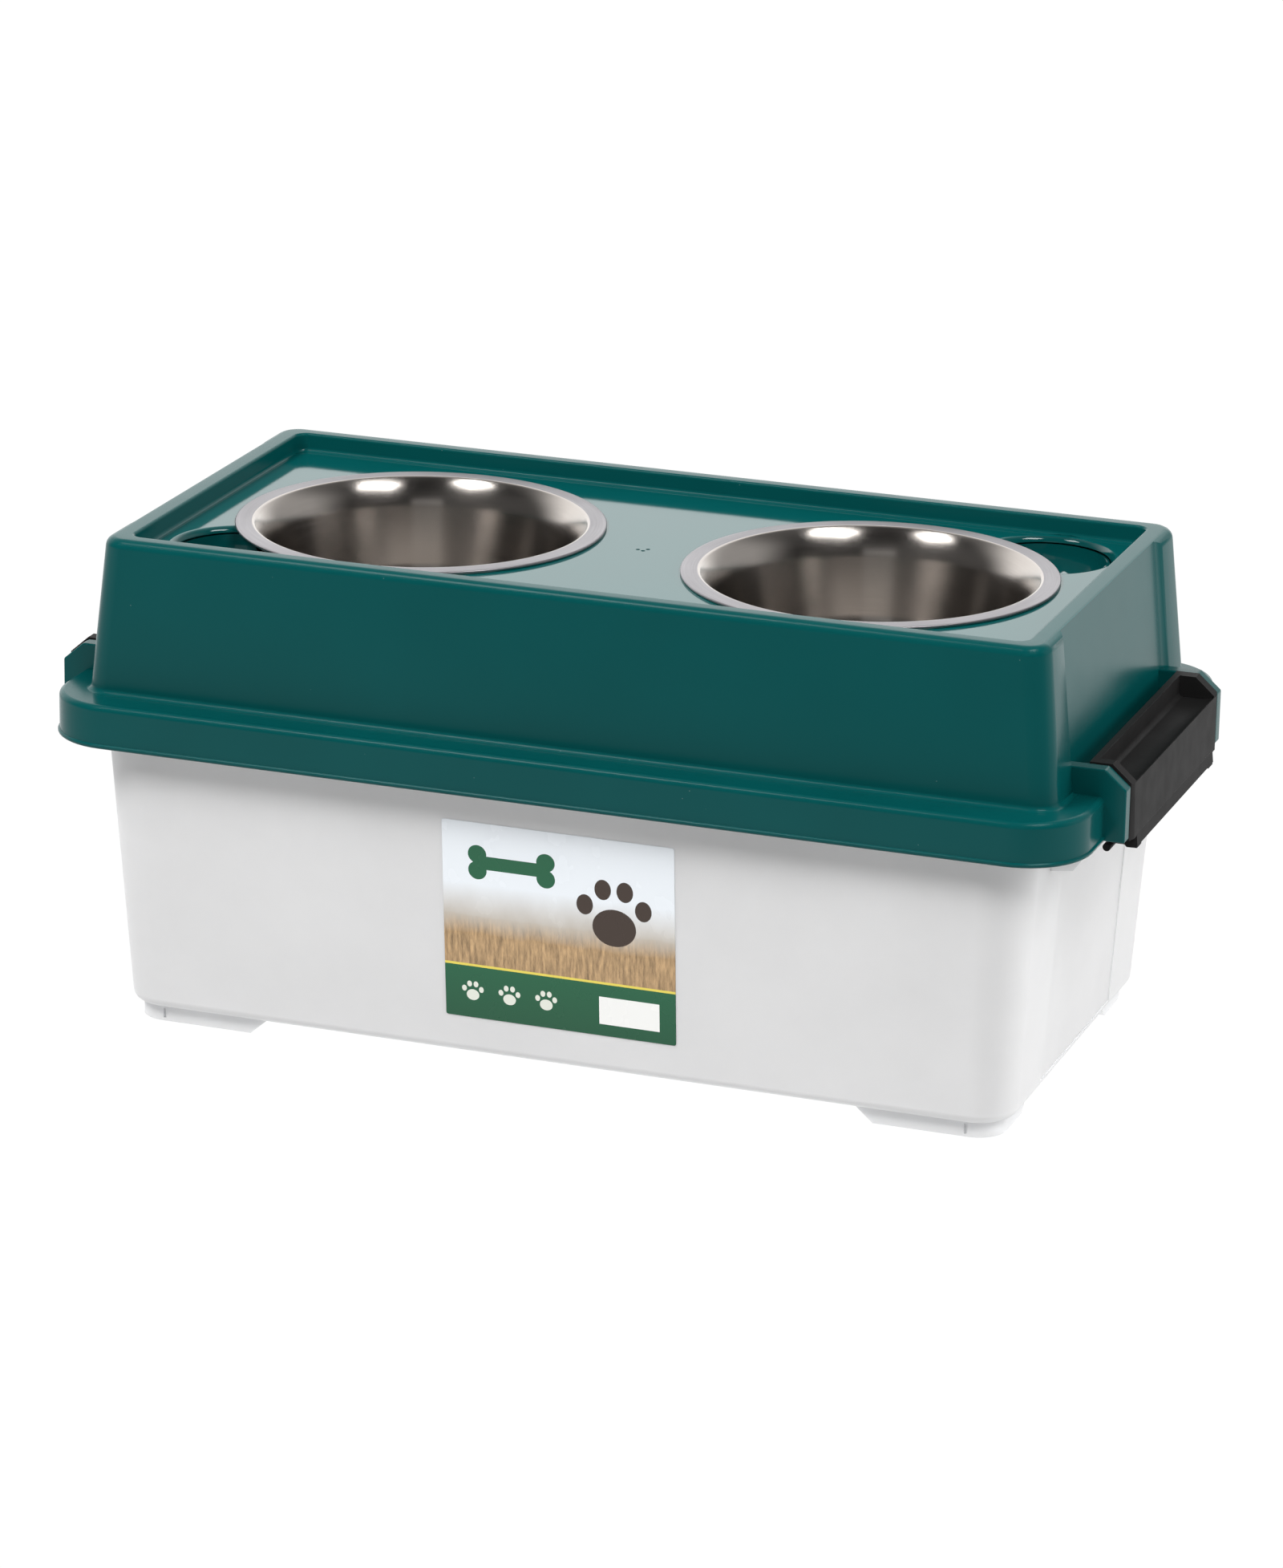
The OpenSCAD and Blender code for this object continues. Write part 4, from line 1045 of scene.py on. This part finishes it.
class FEEDER_OT_bowls(bpy.types.Operator):
    """Build the two steel bowls"""
    bl_idname = "feeder.bowls"
    bl_label = "Bowls"

    def execute(self, context):
        b = context.scene.feeder_bowl
        polished = steel(b.steel, "polished_steel", roughness=0.2, anisotropy=0.8, reach=b.pitch / 2)
        satin = steel(b.rim_steel, "satin_steel", roughness=0.42, anisotropy=0.3, reach=b.pitch / 2)
        mouth, top = b.mouth_diameter / 2, b.seat + b.roll_height
        for name, side in (("left_bowl", -1), ("right_bowl", 1)):
            piece = turned(f"{name}_steel", bowl_profile(b), material=polished, steps=BOWL_STEPS)
            smooth(piece)
            piece.data.materials.append(satin)
            for face in piece.data.polygons:
                x, y, z = face.center
                face.material_index = 1 if hypot(x, y) > mouth and z > top - 0.6 * b.roll_height else 0
            piece.data.transform(Matrix.Translation((side * b.pitch / 2, 0, 0)))
            dress(piece, polished, name, [name])
        return {"FINISHED"}


# ---- Latches ----

def latch_grip(s):
    """What is cut out for the fingers at +X: a steep inner side and a floor that sweeps up to the outer edge."""
    inner, out = s.outer - s.depth + s.strip, s.outer + 1 * MM
    floor, over = s.top - s.grip_depth, s.top + 2 * MM
    sweep = [(s.outer - 8 * MM, floor), (s.outer - 4.5 * MM, floor + 0.3 * MM),
             (s.outer - 1.8 * MM, floor + 1 * MM), (out, floor + 2.4 * MM), (out, over)]
    outline = [(inner, over)] + arc((inner + s.wall, floor + s.wall), s.wall, 180, 270, 6) + sweep
    return along_y("grip", outline, -s.grip_length / 2, s.grip_length / 2)


def latch_slant(s):
    """What is cut from the +Y end of the front for its shallow slant."""
    half, face, out, deep = s.length / 2, s.outer + 0.4 * MM, s.outer + 1 * MM, s.outer - s.slant_depth
    outline = [(face, half - s.slant_length), (out, half - s.slant_length), (out, half + MM), (deep, half + MM),
               (deep, half)]
    return prism("slant", outline, s.bottom, s.top)


def latch_rib_tree():
    """Geometry nodes that stand copies of a rib in a row along Y."""
    shaping = Shaping("Latch ribs", (("Rib", "Geometry"), ("Count", "Int"), ("Row length", "Float")))
    given = shaping.given
    start, end = (shaping.add("ShaderNodeCombineXYZ", {"Y": shaping.math("MULTIPLY", given["Row length"], side)})
                  for side in (-0.5, 0.5))
    row = shaping.add("GeometryNodeMeshLine", {"Count": given["Count"], "Start Location": start.outputs[0],
                                               "Offset": end.outputs[0]}, mode="END_POINTS")
    stand = shaping.add("GeometryNodeInstanceOnPoints",
                        {"Points": row.outputs["Mesh"], "Instance": given["Rib"]})
    return shaping.end(stand.outputs["Instances"])


def latch_ribs(s, material):
    """The row of ribs behind the front wall of the latch at +X."""
    wall_in, high = s.outer - s.wall, s.top - s.grip_depth - s.wall / 2
    outline = [(wall_in + 0.5 * MM, high + 0.5 * MM), (wall_in - 2 * s.wall, high + 0.5 * MM),
               (wall_in - 2 * s.wall, s.bottom + 1.5 * MM), (s.bead_reach + 0.5 * MM, s.bead_height + 1.8 * MM),
               (wall_in + 0.5 * MM, s.bead_height + 1 * MM)]
    rib = along_y("ribs", outline, -s.wall / 2, s.wall / 2)
    modifier = rib.modifiers.new("row", "NODES")
    modifier.node_group = bpy.data.node_groups.get("Latch ribs") or latch_rib_tree()
    set_inputs(modifier, {"Count": s.ribs, "Row length": s.low_length - s.wall, "Material": material})
    return bake(rib)


def latch_body(s, material, edge_highlight):
    """The latch's top, grip and front wall; the edges' roundings get a lighter, glossier plastic as a painted
    highlight.
    """
    half, low_half = s.length / 2, s.low_length / 2
    inner, wall_in, out = s.outer - s.depth, s.outer - s.wall, s.outer + 0.4 * MM
    floor, low = s.top - s.grip_depth - s.wall / 2, s.bead_height - 0.2 * MM
    outline = [(inner, floor), (wall_in, floor), (wall_in, s.bottom + MM), (out, s.bottom + MM),
               (s.outer, s.top - s.chamfer_drop), (s.outer - s.chamfer_run, s.top), (inner, s.top)]
    piece = along_y("latch", outline, -half, half)
    slant = latch_slant(s)
    boolean(piece, "DIFFERENCE", [latch_grip(s), slant, copied(slant, FRONT_TO_BACK)])
    outline = [(wall_in, low), (s.outer + 1 * MM, low), (out, s.bottom + 2 * MM), (wall_in, s.bottom + 2 * MM)]
    boolean(piece, "UNION", [along_y("lower", outline, -low_half, low_half)])
    piece.data.materials.append(material)
    piece.data.materials.append(edge_highlight)
    # The roundings take the second, lighter material: a painted highlight along the edges.
    return bevel(tidy(piece), 0.6 * MM, 3, material=1)


def latch_web(s):
    """The strip that carries the bead along the latch's lower edge."""
    low, half = s.bead_height - 0.2 * MM, s.low_length / 2
    outline = [(s.bead_reach, low + 0.4 * MM), (s.bead_reach + 2 * MM, low), (s.outer, low),
               (s.outer, low + 2 * MM), (s.bead_reach, low + 2 * MM)]
    return along_y("web", outline, -half, half)


def latch_lug(s):
    """The lug at the +Y end of the latch's lower edge."""
    wall_in, high, half = s.outer - s.wall, s.bead_height + 0.5 * MM, s.low_length / 2
    outline = [(wall_in - 2 * MM, s.bead_height - 1.6 * MM), (s.outer + 0.9 * MM, s.bead_height - 1.4 * MM),
               (s.outer + 0.6 * MM, high), (wall_in - 4 * MM, high)]
    return bevel(along_y("lug", outline, half - s.lug_length, half), 0.4 * MM)


def latch_bead(s):
    """The round bead that snaps under the keeper."""
    half, edge = s.length / 2, 0.6 * MM
    corner = s.bead_radius - edge
    profile = ([(0, 0.4 * MM - half)] + arc((corner, MM - half), edge, -90, 0, 3)
               + arc((corner, half - MM), edge, 0, 90, 3) + [(0, half - 0.4 * MM)])
    bead = turned("bead", profile, steps=SMALL_STEPS)
    bead.data.transform(Matrix.Translation((s.bead_reach, 0, s.bead_height)) @ Matrix.Rotation(-pi / 2, 4, "X"))
    return bead


def latch_pin(s):
    """The hinge pin at the +Y end."""
    radius, length, edge = s.pin_radius, s.pin_length, 0.4 * MM
    profile = [(0, -1 * MM), (radius, -1 * MM), (radius, length - edge), (radius - edge, length), (0, length)]
    pin = turned("pin", profile, steps=SMALL_STEPS)
    pin.data.transform(Matrix.Translation((s.pin_reach, s.length / 2, s.pin_height))
                       @ Matrix.Rotation(-pi / 2, 4, "X"))
    return pin


def latch(s, material, edge_highlight):
    """The latch at +X."""
    piece, lug, bead, pin = latch_body(s, material, edge_highlight), latch_lug(s), latch_bead(s), latch_pin(s)
    boolean(piece, "UNION", [latch_ribs(s, material), latch_web(s), lug, copied(lug, FRONT_TO_BACK), bead, pin,
                             copied(pin, FRONT_TO_BACK)])
    return smooth(piece)


class FEEDER_OT_latches(bpy.types.Operator):
    """Build the two black latches"""
    bl_idname = "feeder.latches"
    bl_label = "Latches"

    def execute(self, context):
        s = context.scene.feeder_latch
        plastic = black_plastic(s.plastic, "satin_black_plastic", roughness=0.41, level=0.02)
        # Three times lighter and glossier than the latch: the painted highlight on its edges.
        edge_highlight = black_plastic(dimmed(s.plastic, 3), "edge_highlight_black_plastic", roughness=0.28, level=0.7)
        right = latch(s, plastic, edge_highlight)
        left = copied(right, END_TO_END)
        for piece, name in ((right, "right_latch"), (left, "left_latch")):
            piece.name = f"{name}_shell"
            dress(piece, plastic, name, [name])
        return {"FINISHED"}


# ---- Stage ----

FEEDER_MIDDLE = (0, 0, 0.2)
SOFTBOXES = (    # name, place, what it looks at, width, height, watts, and whether it shows in glossy pieces
    ("left_fill", (-1.1, -1.2, 2.0), FEEDER_MIDDLE, 1.1, 0.8, 56, False),
    ("right_fill", (1.2, -1.1, 1.8), FEEDER_MIDDLE, 1.1, 0.8, 34, False),
    ("left_softbox", (-0.68, -0.62, 1.95), FEEDER_MIDDLE, 0.6, 0.45, 9, True),
    ("right_softbox", (0.82, -0.36, 1.95), FEEDER_MIDDLE, 0.75, 0.45, 11, True),
    ("right_card", (1.15, 0.25, 0.55), (0.2, 0, 0.2), 0.7, 0.5, 5.5, False),
    ("front_card", (0.5, -2.0, 0.95), (0, 0, 0.25), 0.9, 0.6, 0.5, True),
)


def white_surroundings(context, strength):
    """Bright white low behind on the left, paler to the right and overhead, and nearly dark in front."""
    world = bpy.data.worlds.new("white_surroundings")
    context.scene.world = world
    world.use_nodes = True
    sky = Nodes(world.node_tree)
    sky.nodes.clear()
    place = sky.add("ShaderNodeTexCoord").outputs["Generated"]
    parts = sky.add("ShaderNodeSeparateXYZ", {"Vector": place}).outputs
    depth = sky.smooth_step(parts["Y"], -0.25, 0.45, 0.13 * strength, 1.95 * strength)
    height = sky.smooth_step(parts["Z"], 0.5, 0.8, 1.0, 0.3)
    side = sky.smooth_step(parts["X"], 0.0, 0.45, 1.0, 0.35)
    glow = sky.math("MULTIPLY", sky.math("MULTIPLY", depth, height), side)
    shine = sky.add("ShaderNodeBackground", {"Strength": glow})
    sky.add("ShaderNodeOutputWorld", {"Surface": shine.outputs[0]})


def softbox(name, place, target, width, height, power, mirrored):
    """A rectangular light that looks at a point, and either shows in glossy pieces or lights the dull ones."""
    data = bpy.data.lights.new(name, "AREA")
    data.shape = "RECTANGLE"
    data.size, data.size_y, data.energy = width, height, power
    light = bpy.data.objects.new(name, data)
    light.location = place
    light.rotation_euler = (Vector(target) - Vector(place)).to_track_quat("-Z", "Y").to_euler()
    light.visible_camera = False
    light.visible_glossy, light.visible_diffuse = mirrored, not mirrored
    bpy.context.scene.collection.objects.link(light)


def aimed_camera(s):
    """The camera at its place, looking along its aim and turned about it."""
    forward = Vector(s.camera_aim).normalized()
    right = forward.cross(Vector((0, 0, 1))).normalized()
    up = right.cross(forward)
    tilt_cos, tilt_sin = cos(s.camera_roll), sin(s.camera_roll)
    right, up = right * tilt_cos + up * tilt_sin, up * tilt_cos - right * tilt_sin
    data = bpy.data.cameras.new("camera")
    data.lens, data.sensor_width, data.clip_end = s.lens, 36, 100
    camera = bpy.data.objects.new("camera", data)
    camera.matrix_world = Matrix.Translation(s.camera_place) @ Matrix((right, up, -forward)).transposed().to_4x4()
    return camera


class FEEDER_OT_stage(bpy.types.Operator):
    """Set up the pale floor, the soft light and the camera"""
    bl_idname = "feeder.stage"
    bl_label = "Stage"

    def execute(self, context):
        scene, s = context.scene, context.scene.feeder_stage
        scene.view_settings.view_transform = "Standard"
        half = FLOOR_HALF
        corners = [(-half, -half, 0), (half, -half, 0), (half, half, 0), (-half, half, 0)]
        floor = mesh_piece("floor", corners, [(0, 1, 2, 3)])
        floor.data.materials.append(pale_floor())
        white_surroundings(context, s.surround)
        for name, place, target, width, height, watts, mirrored in SOFTBOXES:
            softbox(name, place, target, width, height, watts * s.softbox, mirrored)
        scene.camera = aimed_camera(s)
        scene.collection.objects.link(scene.camera)
        return {"FINISHED"}


# ---- Panel and registration ----

SETTINGS = {"feeder_container": ContainerSettings, "feeder_lid": LidSettings, "feeder_bowl": BowlSettings,
            "feeder_latch": LatchSettings, "feeder_label": LabelSettings, "feeder_stage": StageSettings}
OPERATORS = (FEEDER_OT_stage, FEEDER_OT_container, FEEDER_OT_label, FEEDER_OT_lid, FEEDER_OT_gasket,
             FEEDER_OT_bowls, FEEDER_OT_latches)


class FEEDER_PT_panel(bpy.types.Panel):
    """Lists the feeder's sizes and the operators that build its pieces"""
    bl_idname = "FEEDER_PT_panel"
    bl_label = "Elevated dog feeder"
    bl_space_type = "VIEW_3D"
    bl_region_type = "UI"
    bl_category = "Feeder"

    def draw(self, context):
        layout = self.layout
        for operator in OPERATORS:
            layout.operator(operator.bl_idname)
        for name, group in SETTINGS.items():
            box = layout.box()
            box.label(text=group.__doc__)
            for prop in group.__annotations__:
                box.prop(getattr(context.scene, name), prop)


CLASSES = (*SETTINGS.values(), *OPERATORS, FEEDER_PT_panel)


def register():
    """Adds the classes, and the settings to the scene."""
    for cls in CLASSES:
        bpy.utils.register_class(cls)
    for name, group in SETTINGS.items():
        setattr(bpy.types.Scene, name, PointerProperty(type=group))


def unregister():
    """Takes the settings and the classes away again."""
    for name in SETTINGS:
        delattr(bpy.types.Scene, name)
    for cls in reversed(CLASSES):
        bpy.utils.unregister_class(cls)


def main():
    """Builds the stage and all the pieces."""
    register()
    for build in (bpy.ops.feeder.stage, bpy.ops.feeder.container, bpy.ops.feeder.label, bpy.ops.feeder.lid,
                  bpy.ops.feeder.gasket, bpy.ops.feeder.bowls, bpy.ops.feeder.latches):
        build()


if __name__ == "__main__":
    main()
